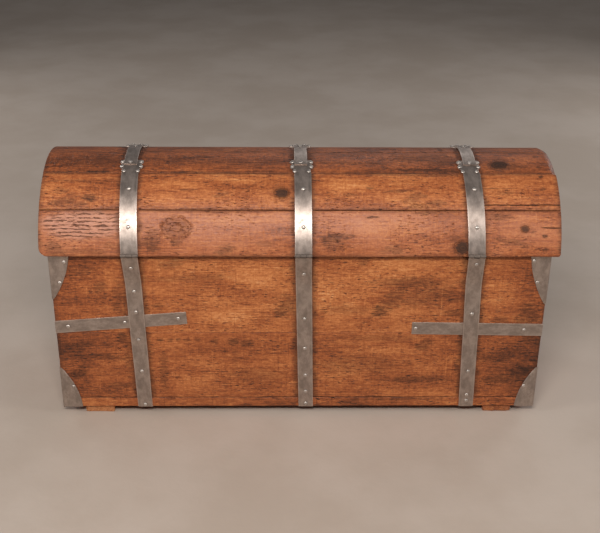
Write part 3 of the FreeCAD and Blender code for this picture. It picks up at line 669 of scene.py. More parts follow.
def strap_edges():
    """Where the hinge side's straps cross a box board: X at height 0, slope, half width."""
    found = []
    for foot, edge, *_ in STRAP_LINES.values():
        slope = (edge - foot) / (HINGE_Z - BOX_BASE_Z)
        found.append((foot - slope * BOX_BASE_Z, slope, STRAP_HALF))
    return found


def straight_straps():
    return [(line[4], 0.0, 0.019) for line in STRAP_LINES.values()]


UPPER_MARKS = box_marks(
    (-0.020, 0.300, 0.030, 0.034, 0.62, 30), (-0.045, 0.284, 0.018, 0.012, 0.75, 20),
    (-0.008, 0.265, 0.020, 0.020, 0.35), (0.190, 0.290, 0.018, 0.020, 0.85, 60),
    (0.222, 0.322, 0.040, 0.022, 0.60, 50), (0.262, 0.362, 0.075, 0.016, 0.55),
    (0.300, 0.330, 0.070, 0.026, 0.42, 15), (0.110, 0.292, 0.060, 0.012, 0.30),
    (0.376, 0.318, 0.030, 0.006, 0.70), (0.366, 0.283, 0.026, 0.010, 0.60),
    (0.545, 0.275, 0.030, 0.030, 0.75, 30), (0.480, 0.262, 0.016, 0.010, 0.60),
    (-0.424, 0.319, 0.018, 0.050, 0.50, 0), (-0.469, 0.352, 0.016, 0.014, 0.55, 30),
    (-0.520, 0.395, 0.050, 0.014, 0.35), (-0.545, 0.252, 0.022, 0.010, 0.60),
    (-0.336, 0.302, 0.014, 0.006, 0.60), (-0.300, 0.412, 0.030, 0.010, 0.45, 10),
    (-0.260, 0.375, 0.090, 0.008, 0.35, 3), (0.145, 0.425, 0.012, 0.018, 0.50),
    (-0.120, 0.388, 0.090, 0.050, 0.11, 0, "light"), (0.090, 0.300, 0.070, 0.060, 0.12, 0, "light"),
    (-0.180, 0.272, 0.110, 0.018, 0.14, 0, "light"), (0.335, 0.310, 0.0020, 0.070, 0.14, 0, "light"),
    (0.470, 0.330, 0.060, 0.050, 0.12, 0, "light"),
)
LOWER_MARKS = box_marks(
    (-0.160, 0.204, 0.015, 0.010, 0.80), (-0.128, 0.200, 0.018, 0.009, 0.70),
    (-0.205, 0.206, 0.008, 0.006, 0.60), (-0.336, 0.210, 0.009, 0.005, 0.75),
    (-0.312, 0.208, 0.007, 0.005, 0.70), (-0.292, 0.209, 0.006, 0.004, 0.70),
    (-0.272, 0.208, 0.008, 0.004, 0.65), (-0.246, 0.210, 0.008, 0.004, 0.55),
    (-0.155, 0.160, 0.008, 0.030, 0.25), (0.241, 0.226, 0.0045, 0.0045, 0.95),
    (0.300, 0.196, 0.020, 0.014, 0.60, 30), (0.200, 0.214, 0.110, 0.009, 0.35),
    (0.140, 0.140, 0.110, 0.026, 0.30), (0.290, 0.098, 0.075, 0.008, 0.60),
    (0.390, 0.215, 0.006, 0.014, 0.85), (0.385, 0.130, 0.007, 0.020, 0.85),
    (0.494, 0.097, 0.050, 0.012, 0.70, 5), (0.545, 0.115, 0.026, 0.022, 0.85, 40),
    (0.560, 0.208, 0.020, 0.010, 0.60), (0.460, 0.160, 0.060, 0.016, 0.35),
    (0.358, 0.130, 0.0020, 0.050, 0.12, 0, "light"), (0.371, 0.130, 0.0020, 0.050, 0.10, 0, "light"),
    (-0.455, 0.160, 0.045, 0.008, 0.60, -4), (-0.425, 0.214, 0.014, 0.016, 0.80),
    (-0.410, 0.160, 0.012, 0.070, 0.50), (-0.524, 0.196, 0.030, 0.006, 0.55),
    (-0.535, 0.118, 0.014, 0.024, 0.65, -50), (-0.440, 0.082, 0.030, 0.010, 0.50),
    (-0.330, 0.120, 0.010, 0.050, 0.50), (-0.100, 0.110, 0.060, 0.020, 0.30),
    (-0.240, 0.150, 0.080, 0.030, 0.12, 0, "light"), (0.200, 0.180, 0.120, 0.014, 0.10, 0, "light"),
)


def make_box_boards():
    make_planks()
    make_box_ends()
    make_bottom()
    make_skids()


def other_side(marks, shrink, flip, tilt):
    """Every second mark, moved along and across and a little paler, for the opening side."""
    return [Mark(-mark.u * shrink, flip - mark.v, mark.ru, mark.rv, mark.dark * 0.8, tilt * mark.tilt,
                 mark.kind) for mark in marks[::2]]


def make_planks():
    for side, side_name in SIDES:
        straps = strap_edges() if side < 0 else straight_straps()
        for level, low, high, tone, marks, nail_heights in (
            ("upper", SEAM_Z, BOX_TOP_Z, 0.625, UPPER_MARKS, (0.290, 0.335)),
            ("lower", WALL_BASE_Z, SEAM_Z, 0.545, LOWER_MARKS, (0.070, 0.150, 0.195)),
        ):
            name = f"{side_name}_{level}_plank"
            seed = len(name) * 1.3 + side + low * 10
            if side > 0:
                marks = other_side(marks, 0.93, high + low, 1)
            # a plank's edge dirt is kept off the joint between the planks, which is a thin dark line
            dirt_top = high + CLEAN_EDGE if level == "lower" else high
            dirty = (-HALF_LENGTH, HALF_LENGTH, low - CLEAN_EDGE, dirt_top)
            cracks = [(-0.7, 0.7, low + 0.0006, 0.0)] if level == "lower" else []
            nails = [(PLANK_NAIL_X, z) for z in nail_heights]
            # ends=0.20 paints shade that darkens the plank towards its ends
            finish = wood(name, seed, tone, dirty, marks, straps, nails, cracks, ends=0.20)
            mesh = board((-HALF_LENGTH, HALF_LENGTH, low, high), PLANK_T, on_long_side(side), seed,
                         radius=0.0010, waver=0.0003)
            piece(name + ".board", [mesh], "box", [name], "box_wood", finish)


def make_box_ends():
    """Each end of the box, in three level boards."""
    inner = HALF_DEPTH - PLANK_T
    cuts = (WALL_BASE_Z, *END_BOARD_CUTS_Z, BOX_TOP_Z)
    for end, end_name in ENDS:
        node = end_name + "_end_board"
        for index in range(3):
            low, high = cuts[index], cuts[index + 1]
            extent = (-inner, inner, low, high)
            seed = 21.0 + 3 * end + index
            finish = wood(f"{node}_{index}", seed, 0.52, extent, [
                Mark(0.08 * end - 0.06 * index, (low + high) / 2 + 0.012, 0.014, 0.011, 0.8, 0, "knot"),
                Mark(-0.11 + 0.05 * index, low + 0.045, 0.035, 0.018, 0.5, 12),
                Mark(0.12, high - 0.035, 0.030, 0.012, 0.45, -8),
            ])
            mesh = board(extent, END_BOARD_T, on_box_end(end), seed)
            piece(f"{node}.{index}", [mesh], "box", [node] if index == 0 else [], "box_wood", finish)


def make_bottom():
    width = 2 * HALF_DEPTH / 3
    for index, place_name in enumerate(("hinge_side", "middle", "opening_side")):
        name = "bottom_board_" + place_name
        seed = 31.0 + index
        low = -HALF_DEPTH + index * width
        high = low + width
        finish = wood(name, seed, 0.52, (-0.7, 0.7, low - 0.05, high + 0.05), [
            Mark(-0.3 + 0.2 * index, low + 0.06, 0.016, 0.012, 0.8, 0, "knot"),
            Mark(0.25, low + 0.02, 0.12, 0.03, 0.5),
            Mark(-0.05, low + 0.09, 0.10, 0.03, 0.4),
        ])
        mesh = board((-HALF_LENGTH, HALF_LENGTH, low, high), WALL_BASE_Z - BOX_BASE_Z,
                     lambda u, v, w: (u, v, WALL_BASE_Z - w), seed, radius=0.0014)
        piece(name + ".board", [mesh], "box", [name], "box_wood", finish)


def make_skids():
    for end, end_name in ENDS:
        name = end_name + "_skid"
        seed = 41.0 + end
        low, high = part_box(name)
        extent = (low.y, high.y, low.x, high.x)
        finish = wood(name, seed, 0.86 if end < 0 else 0.66, extent, [
            Mark(low.y + 0.004, high.x - 0.012, 0.02, 0.010, 0.3),
            Mark(0.05, low.x + 0.03, 0.05, 0.01, 0.5),
        ], red=0.5, edge_dirt=0.25)
        mesh = board(extent, high.z - low.z, lambda u, v, w, top=high.z: (v, u, top - w), seed,
                     radius=0.0028, waver=0.0030, reshape=chipped(low.y, end))
        piece(name + ".board", [mesh], "box", [name], "skid_wood", finish)


def chipped(front, end):
    """Wear for a skid: its front end is split and uneven."""
    def reshape(u, v, w):
        near = max(0.0, 1.0 - (u - front) / 0.02)
        return u + near * 0.006 * ripple(v * 60.0, w * 120.0, 4.0 + end), v, w
    return reshape


# ---------------------------------------------------------------- lid boards
CORNER_WEAR = {           # for each side and end of the lid, how far its lower corner is worn along and up
    (-1, -1): (0.024, 0.020),
    (-1, 1): (0.007, 0.007),
    (1, -1): (0.009, 0.009),
    (1, 1): (0.009, 0.009),
}


def on_lid(u, v, w):
    a = v / LID_R
    r = LID_R - w
    return (u, r * math.sin(a), LID_CENTRE_Z + r * math.cos(a))


def stave_wear(index, side):
    """Worn places of a stave: its soft lower corners, and the level lower edge of the lowest one."""
    edge_v = arc(LID_HALF_ANGLE)
    last = index == len(STAVE_JOINTS) - 1

    def reshape(u, v, w):
        height = abs(v)
        if last:
            level = math.acos((LID_EDGE_Z - LID_CENTRE_Z) / (LID_R - w)) * LID_R
            start = arc(STAVE_JOINTS[index])
            t = (height - start) / (edge_v - start)
            height += (level - edge_v) * t
            for end in (-1, 1):
                long, high = CORNER_WEAR[side, end]
                near = max(0.0, 1.0 - (edge_v - abs(v)) / high)
                cut = long * (1.0 - math.sqrt(max(0.0, 1.0 - near * near)))
                u -= end * cut * math.exp(-(LID_HALF - end * u) / (long * 2.2))
        if index == 0:
            gap = LID_HALF - u
            near = max(0.0, 1.0 - gap / 0.016)
            w += 0.0075 * near * near
        else:
            for end in (-1, 1):
                near = max(0.0, 1.0 - (LID_HALF - end * u) / 0.007)
                w += 0.0016 * near * near * (1.0 + wave(v * 30.0, end, 2.0 + side))
        return u, math.copysign(height, v) if v else side * height, w

    return reshape


CROWN_MARKS = lid_marks(
    (0.285, -8.0, 0.085, 0.020, 0.62, 3), (0.350, -13.0, 0.050, 0.016, 0.55, 0),
    (0.470, -16.3, 0.026, 0.019, 0.95, 8, "knot"), (0.500, -17.5, 0.040, 0.010, 0.60),
    (-0.470, -12.0, 0.110, 0.022, 0.40), (-0.300, -10.0, 0.090, 0.012, 0.35),
    (-0.240, -8.0, 0.030, 0.006, 0.55), (0.130, -14.5, 0.080, 0.006, 0.50),
    (0.200, -4.0, 0.200, 0.010, 0.25), (-0.150, -14.0, 0.140, 0.014, 0.30),
    (-0.468, -23.5, 0.030, 0.004, 0.95), (-0.545, -23.8, 0.016, 0.003, 0.80),
    (-0.270, -23.6, 0.040, 0.0035, 0.85), (0.330, -22.0, 0.110, 0.007, 0.85, -2),
    (0.520, -9.0, 0.050, 0.020, 0.10, 0, "light"),
)
SHOULDER_MARKS = lid_marks(
    (-0.487, -43.0, 0.017, 0.009, 0.90), (-0.525, -42.0, 0.012, 0.008, 0.40),
    (-0.552, -38.0, 0.018, 0.007, 0.50), (-0.548, -45.5, 0.028, 0.010, 0.60, 8),
    (-0.510, -47.0, 0.020, 0.006, 0.50), (-0.520, -31.0, 0.055, 0.004, 0.45),
    (-0.430, -30.0, 0.030, 0.006, 0.35), (-0.044, -39.5, 0.018, 0.014, 0.95, 0, "knot"),
    (-0.262, -37.5, 0.022, 0.004, 0.55), (-0.185, -40.5, 0.016, 0.005, 0.50, 15),
    (-0.150, -31.0, 0.080, 0.014, 0.13, 0, "light"), (-0.300, -34.0, 0.100, 0.020, 0.10, 0, "light"),
    (0.110, -33.0, 0.080, 0.025, 0.10, 0, "light"), (0.160, -36.0, 0.009, 0.004, 0.70),
    (0.120, -40.5, 0.014, 0.003, 0.45), (0.229, -38.0, 0.034, 0.004, 0.60, 4),
    (0.266, -41.0, 0.022, 0.007, 0.55), (0.250, -44.5, 0.020, 0.006, 0.45),
    (0.272, -48.6, 0.026, 0.009, 0.80, 0, "burr"), (0.315, -46.0, 0.020, 0.008, 0.55),
    (0.330, -25.8, 0.090, 0.005, 0.60), (0.473, -39.0, 0.024, 0.006, 0.40),
    (0.452, -36.0, 0.050, 0.0012, 0.60),
)
EDGE_MARKS = lid_marks(
    (-0.500, -60.0, 0.112, 0.040, 0.72, 0, "ribbed"), (-0.285, -61.5, 0.036, 0.029, 0.72, 0, "burr"),
    (-0.345, -71.5, 0.022, 0.018, 0.60), (-0.340, -65.0, 0.016, 0.012, 0.45),
    (-0.285, -70.5, 0.012, 0.009, 0.70), (-0.174, -75.0, 0.022, 0.010, 0.60, 15),
    (-0.080, -71.0, 0.020, 0.006, 0.35), (0.078, -67.5, 0.034, 0.010, 0.75, 6),
    (0.070, -72.0, 0.028, 0.014, 0.45), (0.165, -55.0, 0.018, 0.0025, 0.90, 4),
    (0.215, -74.5, 0.030, 0.012, 0.50), (0.372, -73.5, 0.020, 0.017, 0.95, 0, "knot"),
    (0.355, -68.0, 0.014, 0.010, 0.40), (0.515, -62.0, 0.010, 0.008, 0.85, 0, "knot"),
    (0.534, -63.5, 0.006, 0.004, 0.80), (0.480, -69.5, 0.040, 0.007, 0.55, -12),
    (0.455, -54.5, 0.035, 0.008, 0.55), (0.285, -52.5, 0.030, 0.003, 0.65),
    (-0.565, -74.5, 0.020, 0.016, 0.55), (-0.500, -76.0, 0.080, 0.006, 0.45),
    (-0.420, -72.0, 0.030, 0.010, 0.35), (-0.120, -56.0, 0.200, 0.020, 0.11, 0, "light"),
    (0.200, -62.0, 0.120, 0.030, 0.10, 0, "light"), (0.520, -56.0, 0.070, 0.012, 0.11, 0, "light"),
)


def lid_straps(side):
    """Where the straps cross the lid, in the lid's surface coordinates."""
    found = []
    low_v = side * arc(LID_HALF_ANGLE)
    high_v = side * arc(HEAD_ANGLE)
    for _, edge, top, _, crown in STRAP_LINES.values():
        x_edge, x_top = (edge, top) if side < 0 else (crown, crown)
        slope = (x_edge - x_top) / (low_v - high_v)
        found.append((x_top - slope * high_v, slope, 0.0205))
    return found


STAVE_CRACKS = {          # on the hinge side: from and to along the stave, place across it, lean
    "shoulder": [(0.405, 0.62, arc(-47.3), 0.0)],
    "edge": [(0.545, 0.62, arc(-61.0), -0.04)],
}


def make_lid_boards():
    # painted shadows: near-black bands on the crown next to each crown strap, where its raised middle shades
    # the wood
    crown_strap_shadows = tuple(Mark(line[4] + turn * 0.0195, arc(-6.0), 0.0055, 0.030, 0.92)
                   for line in STRAP_LINES.values() for turn in (-1, 1))
    rows = (("crown", 0.42, CROWN_MARKS + crown_strap_shadows, 0.0, 1.0), ("shoulder", 0.60, SHOULDER_MARKS, 0.0, 1.0),
            ("edge", 0.60, EDGE_MARKS, 0.50, 1.05))
    for side, side_name in SIDES:
        for index, (row, tone, marks, red, contrast) in enumerate(rows):
            top, low = (*STAVE_JOINTS, LID_HALF_ANGLE)[index:index + 2]
            v0, v1 = sorted((side * arc(top), side * arc(low)))
            extent = (-LID_HALF, LID_HALF, v0, v1)
            nails = [(STAVE_NAIL_X, side * arc(a)) for a in STAVE_NAIL_ANGLES if top < a < low]
            seed = 51.0 + index * 2 + side
            cracks = STAVE_CRACKS.get(row, []) if side < 0 else []
            if side > 0:
                marks = other_side(marks, 0.9, 0.0, -1)
            name = f"lid_{row}_stave_{side_name}"
            finish = wood(name, seed, tone, extent, marks, lid_straps(side), nails, cracks, contrast, red)
            mesh = board(extent, STAVE_T, on_lid, seed, radius=0.0016, reshape=stave_wear(index, side),
                         across_step=BOARD_STEP / 3 if row == "edge" else BOARD_STEP)
            piece(name + ".board", [mesh], "lid", [name], "lid_wood", finish)
    for end, end_name in ENDS:
        make_lid_end(end, f"lid_{end_name}_end_board")


def make_lid_end(end, name):
    """A lid end: two level boards, sawn to the curve of the staves."""
    r = LID_R_IN - 0.0004
    cuts = (LID_EDGE_Z, LID_EDGE_Z + LID_END_BOARD_H, LID_CENTRE_Z + r)
    count = 14
    for index in range(2):
        low, high = cuts[index], cuts[index + 1]
        seed = 71.0 + 2 * end + index
        rows = []
        for i in range(count + 1):
            z = low + 0.0004 + (high - low - 0.0016) * i / count
            half = math.sqrt(max(r * r - (z - LID_CENTRE_Z) ** 2, 0.0)) - 0.0002
            soft = 0.0010 if i in (0, count) else 0.0
            row = []
            for v, w in rounded_section(-half, half, soft, END_BOARD_T - soft, 0.0009, 14, 2):
                if w < END_BOARD_T / 2:
                    w += 0.0006 * ripple(v * 9.0, z * 30.0, seed)
                row.append(((end * (LID_HALF - 0.0010 - w), v, z), (v, z, w)))
            rows.append(row)
        finish = wood(f"{name}_{index}", seed, 0.50, (-0.22, 0.22, low, high), [
            Mark(0.06 * end, (low + high) / 2, 0.015, 0.011, 0.85, 0, "knot"),
            Mark(-0.08, low + 0.03, 0.05, 0.012, 0.5, 5),
        ])
        piece(f"{name}.{index}", [shell(rows)], "lid", [name] if index == 0 else [], "lid_wood", finish)


# ---------------------------------------------------------------- strips of iron
def ribbon(frames, thickness, seed, across=6, edge=0.0006):
    """Flat strip through frames of (point on its underside, across, outward, half width left, right)."""
    points = [Vector(f[0]) for f in frames]
    ahead = (points[1] - points[0]).normalized()
    behind = (points[-2] - points[-1]).normalized()
    stations = [(points[0], frames[0], edge), (points[0] + ahead * edge, frames[0], 0.0)]
    stations += [(p, f, 0.0) for p, f in zip(points[1:-1], frames[1:-1])]
    stations += [(points[-1] + behind * edge, frames[-1], 0.0), (points[-1], frames[-1], edge)]
    rows = []
    length = 0.0
    last = stations[0][0]
    for point, (_, side, out, left, right), inset in stations:
        side = Vector(side)
        out = Vector(out)
        length += (point - last).length
        last = point
        trim = 0.0002 * (1 + wave(length * 60.0, seed, 0.2))
        row = []
        for v, w in rounded_section(-left + inset + trim, right - inset - trim, inset * 0.6,
                                    thickness - inset * 0.3, max(edge - inset, 0.00015), across, 1):
            rise = thickness - w
            if w < thickness / 2:
                rise -= 0.00018 * ripple(length * 24.0, v * 60.0, seed + 2.0)
            row.append((point + side * v + out * rise, (length, v / right * STRAP_HALF, rise)))
        rows.append(row)
    return shell(rows)


def lid_frame(angle, x, radius, half):
    a = math.radians(angle)
    out = (0.0, math.sin(a), math.cos(a))
    return ((x, radius * out[1], LID_CENTRE_Z + radius * out[2]), (1.0, 0.0, 0.0), out, half, half)


def knuckle(x0, x1, y, seed):
    """Rolled eye of a strap round its pin, at the height of the lid's hinges."""
    bore = PIN_R + FIT_GAP
    soft = 0.0005
    corner = [(0.0, KNUCKLE_R - soft), (soft * 0.3, KNUCKLE_R - soft * 0.3), (soft, KNUCKLE_R)]
    profile = [(x0, bore)] + [(x0 + d, r) for d, r in corner] + [((x0 + x1) / 2, KNUCKLE_R)]
    profile += [(x1 - d, r) for d, r in reversed(corner)] + [(x1, bore)]
    rows = []
    steps = 28
    for i in range(steps):
        a = 2 * math.pi * i / steps
        dent = 1.0 - 0.02 * (1 + wave(math.cos(a) * 2, math.sin(a) * 2, seed))
        row = []
        for x, r in profile:
            worn = r * dent if r > bore else r
            row.append(((x, y + worn * math.cos(a), HINGE_Z + worn * math.sin(a)), (r * a, x, IN_BARREL)))
        rows.append(row)
    return shell(rows, closed=True)


def knuckle_spans(x, outer):
    """Where the outer two, or the middle one, of a hinge's three knuckles lie along the pin."""
    spans = ((x - KNUCKLE_HALF, x + KNUCKLE_HALF),)
    if outer:
        near = KNUCKLE_HALF + KNUCKLE_GAP
        spans = ((x - KNUCKLE_REACH, x - near), (x + near, x + KNUCKLE_REACH))
    return [(x0 + KNUCKLE_TRIM, x1 - KNUCKLE_TRIM) for x0, x1 in spans]


def knuckles(x, side, outer, seed):
    return [knuckle(x0, x1, side * HINGE_Y, seed) for x0, x1 in knuckle_spans(x, outer)]


def strap_out(z, bands, hinge):
    """How far the strap's underside stands off the box at a height."""
    off = 0.0
    if bands:
        off = (BAND_T + 0.0001) * float(np.interp(z, STRAP_STEP_Z, (0.0, 1.0, 1.0, 0.0)))
    if hinge and z > STRAP_MEETS_BOX_Z:
        rise = (HINGE_Y - STRAP_T / 2 - HALF_DEPTH) / (HINGE_Z - STRAP_MEETS_BOX_Z)
        off += (z - STRAP_MEETS_BOX_Z) * rise
    return off


def body_strap(x_foot, x_top, side, bands, hinge, seed):
    """Strap on a long side of the box. A hinge strap leans out towards its barrel at the top."""
    top = HINGE_Z - KNUCKLE_R - 0.0012 if hinge else BOX_TOP_Z - 0.006
    count = 74
    frames = []
    for i in range(count + 1):
        z = BOX_BASE_Z + (top - BOX_BASE_Z) * i / count
        t = (z - BOX_BASE_Z) / (HINGE_Z - BOX_BASE_Z)
        x = x_foot + (x_top - x_foot) * t
        off = 0.0
        for dz in (-0.006, 0.0, 0.006):
            off += strap_out(min(max(z + dz, BOX_BASE_Z), top), bands, hinge) / 3
        lean = (strap_out(min(z + 0.004, top), bands, hinge) - strap_out(z - 0.004, bands, hinge)) / 0.008
        out = Vector((0.0, side, -lean)).normalized()
        half = STRAP_HALF_FOOT + (STRAP_HALF - 0.0005 - STRAP_HALF_FOOT) * t
        frames.append(((x, side * (HALF_DEPTH + FIT_GAP + off), z), (1, 0, 0), out, half, half))
    return ribbon(frames, STRAP_T, seed)


def fingers(x, seed):
    """Short tongues that join a box hinge strap to its own two knuckles."""
    low = HINGE_Z - KNUCKLE_R - 0.0030
    out = Vector((0, -1, -0.27)).normalized()
    parts = []
    for x0, x1 in knuckle_spans(x, True):
        half = (x1 - x0) / 2
        frames = []
        for i in range(5):
            z = low + (HINGE_Z - low) * i / 4
            point = ((x0 + x1) / 2, -(HALF_DEPTH + strap_out(z, False, True)), z)
            frames.append((point, (1, 0, 0), out, half, half))
        parts.append(ribbon(frames, STRAP_T, seed, across=3))
        parts.append(knuckle(x0, x1, -HINGE_Y, seed + x0 - KNUCKLE_TRIM))
    return parts


def head_half(up):
    """Half width of a lid strap's scalloped head, at a distance up the lid from the head's middle."""
    half = STRAP_HALF if -0.027 <= up <= 0.020 else 0.0
    for lobe_x, lobe_up, radius in HEAD_LOBES:
        if abs(up - lobe_up) < radius:
            half = max(half, lobe_x + math.sqrt(radius ** 2 - (up - lobe_up) ** 2))
    return half


def lid_strap(x_edge, x_top, x_head, side, seed, low_angle):
    """Strap from the lid's lower edge to its lobed head."""
    head_low = HEAD_ANGLE + math.degrees(0.027 / LID_R)
    head_high = HEAD_ANGLE - math.degrees(0.0203 / LID_R)
    angles = list(np.linspace(low_angle, head_low, 60)) + list(np.linspace(head_low, head_high, 44))[1:]
    frames = []
    for angle in angles:
        up = math.radians(HEAD_ANGLE - angle) * LID_R
        t = min(1.0, (low_angle - angle) / (low_angle - HEAD_ANGLE - 7.0))
        x = x_edge + (x_top - x_edge) * t
        half = STRAP_HALF
        if angle < head_low:
            ease = min(1.0, (head_low - angle) / 3.0)
            x = x + (x_head - x) * ease
            half = max(head_half(up), STRAP_HALF - 0.0008)
        frames.append(lid_frame(side * angle, x, LID_R + FIT_GAP, half))
    return ribbon(frames, STRAP_T, seed, across=8)


def crown_strap(x, seed):
    angles = np.linspace(-CROWN_STRAP_ANGLE, CROWN_STRAP_ANGLE, 40)
    frames = [lid_frame(a, x, LID_R + STRAP_T + 0.0001, CROWN_STRAP_HALF) for a in angles]
    return ribbon(frames, STRAP_T - 0.0001, seed)


def make_straps(iron_finish):
    """All five pieces of each strap line. The middle one has no bands under it, and carries the hasp."""
    for number, (name, (foot, edge, top, head, crown)) in enumerate(STRAP_LINES.items()):
        bands = name != "middle"
        seed = 3.0 + number * 5
        box_leaf = [body_strap(foot, edge, -1, bands, True, seed), *fingers(edge, seed)]
        lid_leaf = [lid_strap(edge, top, head, -1, seed + 1, HINGE_ANGLE)]
        lid_leaf += knuckles(edge, -1, False, seed)
        if bands:
            front = [lid_strap(crown, crown, crown, 1, seed + 3, LID_HALF_ANGLE - 0.5)]
        else:
            front = [lid_strap(edge, crown, crown, 1, seed + 3, HINGE_ANGLE), *knuckles(edge, 1, True, seed)]
        for kind, body, parts in (
            ("box_hinge_strap", "box", box_leaf),
            ("lid_hinge_strap", "lid", lid_leaf),
            ("box_front_strap", "box", [body_strap(crown, crown, 1, bands, False, seed + 2)]),
            ("lid_front_strap", "lid", front),
            ("crown_strap", "lid", [crown_strap(crown, seed + 4)]),
        ):
            piece(f"{kind}_{name}.strip", parts, body, [f"{kind}_{name}"], "strap_iron", iron_finish)


def iron_width(width, height, bulge, z_wide, direction):
    """Heights and widths of a corner iron's bowed outline."""
    dx = IRON_TIP - width
    length = math.hypot(dx, height)
    rows = []
    for i in range(41):
        t = i / 40
        bow = bulge * 4 * t * (1 - t)
        z = z_wide + direction * (height * t - bow * dx / length)
        rows.append((z, width + dx * t + bow * height / length))
    return sorted(rows)


def corner_iron(end, side, upper, height, bulge, seed):
    """Corner iron: an L of sheet whose two flanges narrow to a point along a bowed edge."""
    z_wide, direction = (BOX_TOP_Z, -1) if upper else (BOX_BASE_Z, 1)
    heights, widths = zip(*iron_width(IRON_W, height, bulge, z_wide, direction))
    end_widths = [w for _, w in iron_width(IRON_W * END_FLANGE, height, bulge, z_wide, direction)]
    z0 = z_wide - height if upper else z_wide
    count = 40
    rows = []
    for i in range(count + 1):
        z = z0 + height * i / count
        soft = 0.0006 if i in (0, count) else 0.0
        w1 = float(np.interp(z, heights, widths)) - soft + 0.0005 * wave(z * 60.0, seed, 1.0)
        w2 = float(np.interp(z, heights, end_widths)) - soft
        t = IRON_T - soft * 0.5
        c = t - IRON_BEND_R
        outline = [(-w1, 0.0001), (-w1, t - 0.0006), (-w1 + 0.0005, t - 0.0001)]
        outline += [(-w1 + (w1 + c) * k / 5, t) for k in range(1, 5)]
        outline += [(c + IRON_BEND_R * math.sin(a), c + IRON_BEND_R * math.cos(a))
                    for a in np.radians((0, 22, 45, 68, 90))]
        outline += [(t, c - (w2 + c) * k / 5) for k in range(1, 5)]
        outline += [(t - 0.0001, -w2 + 0.0005), (t - 0.0006, -w2), (0.0001, -w2), (0.0001, 0.0001)]
        row = []
        for dx, dy in outline:
            dent = 0.0
            if max(dx, dy) > 0.001:
                dent = abs(0.00018 * wave(dx * 30.0, dy * 30.0 + z * 30.0, seed))
            x = HALF_LENGTH + dx - (dent if dx > dy else 0.0)
            y = HALF_DEPTH + dy - (0.0 if dx > dy else dent)
            row.append(((end * x, side * y, z), (z, dx - dy, 0.0)))
        rows.append(row)
    return shell(rows)


def corner_band(end, side, z_corner, z_inner, length, seed):
    """Band from the end of the box, round its corner and along its long side."""
    slope = (z_inner - z_corner) / length
    half = BAND_H / 2
    frames = []
    for i in range(11):
        y = side * (HALF_DEPTH - BAND_END_LENGTH * (1 - i / 10))
        frames.append(((end * HALF_LENGTH, y, z_corner), (0, 0, 1), (end, 0, 0), half, half))
    for a in (30, 60):
        out = (end * math.cos(math.radians(a)), side * math.sin(math.radians(a)), 0)
        frames.append(((end * HALF_LENGTH, side * HALF_DEPTH, z_corner), (0, 0, 1), out, half, half))
    up = Vector((end * slope, 0, 1)).normalized()
    for i in range(33):
        d = length * i / 32
        x = end * (HALF_LENGTH - d)
        frames.append(((x, side * HALF_DEPTH, z_corner + slope * d), up, (0, side, 0), half, half))
    return ribbon(frames, BAND_T, seed, across=5, edge=0.0005)


def make_corners(sheet, strap):
    for end, end_name in ENDS:
        for side, side_name in SIDES:
            upper_height = TALL_IRON_H if end == 1 and side == -1 else UPPER_IRON_H
            seed = 11.0 + end + 3 * side
            for level, height, bow in (
                ("upper", upper_height, UPPER_IRON_BOW),
                ("lower", LOWER_IRON_H, LOWER_IRON_BOW),
            ):
                node = f"{level}_iron_{end_name}_{side_name}"
                upper = level == "upper"
                mesh = corner_iron(end, side, upper, height, bow, seed + upper)
                piece(node + ".sheet", [mesh], "box", [node], "strap_iron", sheet)
            node = f"corner_band_{end_name}_{side_name}"
            mesh = corner_band(end, side, *BANDS[f"{end_name}_{side_name}"], seed + 7)
            piece(node + ".strip", [mesh], "box", [node], "strap_iron", strap)


# ---------------------------------------------------------------- rods
def rod(points, radius, seed):
    """Forged rod through points, with domed ends. radius is a number or a function of the part of the
    length passed."""
    sides = 16
    dome = ((0.0, 0.45), (0.12, 0.78), (0.32, 0.95))
    points = [Vector(p) for p in points]
    lengths = [0.0]
    for a, b in zip(points, points[1:]):
        lengths.append(lengths[-1] + (b - a).length)
    rows = []
    side = (points[1] - points[0]).normalized().orthogonal().normalized()
    for i, point in enumerate(points):
        before = points[max(i - 1, 0)]
        after = points[min(i + 1, len(points) - 1)]
        along = (after - before).normalized()
        side = (side - along * side.dot(along)).normalized()
        up = along.cross(side)
        r = radius(lengths[i] / lengths[-1]) if callable(radius) else radius
        scales = [(0.0, 1.0)]
        if i == 0:
            scales = dome
        if i == len(points) - 1:
            scales = [(-shift, scale) for shift, scale in reversed(dome)]
        for shift, scale in scales:
            centre = point + along * (shift * r)
            row = []
            for k in range(sides):
                a = 2 * math.pi * k / sides
                lump = 1.0 - 0.035 * ripple(lengths[i] * 60.0, math.cos(a) * 1.5 + seed, math.sin(a) * 1.5)
                surface = centre + (side * math.cos(a) + up * math.sin(a)) * (r * scale * lump)
                row.append((surface, (lengths[i], a * r, 0.0)))
            rows.append(row)
    return shell(rows)


def bend(centre, start, end, radius, first, second, steps):
    """Points on an arc about a centre between two angles, in the plane of two unit vectors."""
    first = Vector(first) * radius
    second = Vector(second) * radius
    angles = [math.radians(start + (end - start) * i / steps) for i in range(steps + 1)]
    return [Vector(centre) + first * math.cos(a) + second * math.sin(a) for a in angles]


def straight(a, b, step=0.006):
    a = Vector(a)
    b = Vector(b)
    count = max(2, round((b - a).length / step))
    return [a.lerp(b, i / count) for i in range(count + 1)]


def chain(*runs):
    """Points of several runs, end to end."""
    points = []
    for run in runs:
        for point in run:
            if not points or (point - points[-1]).length > 1e-5:
                points.append(point)
    return points


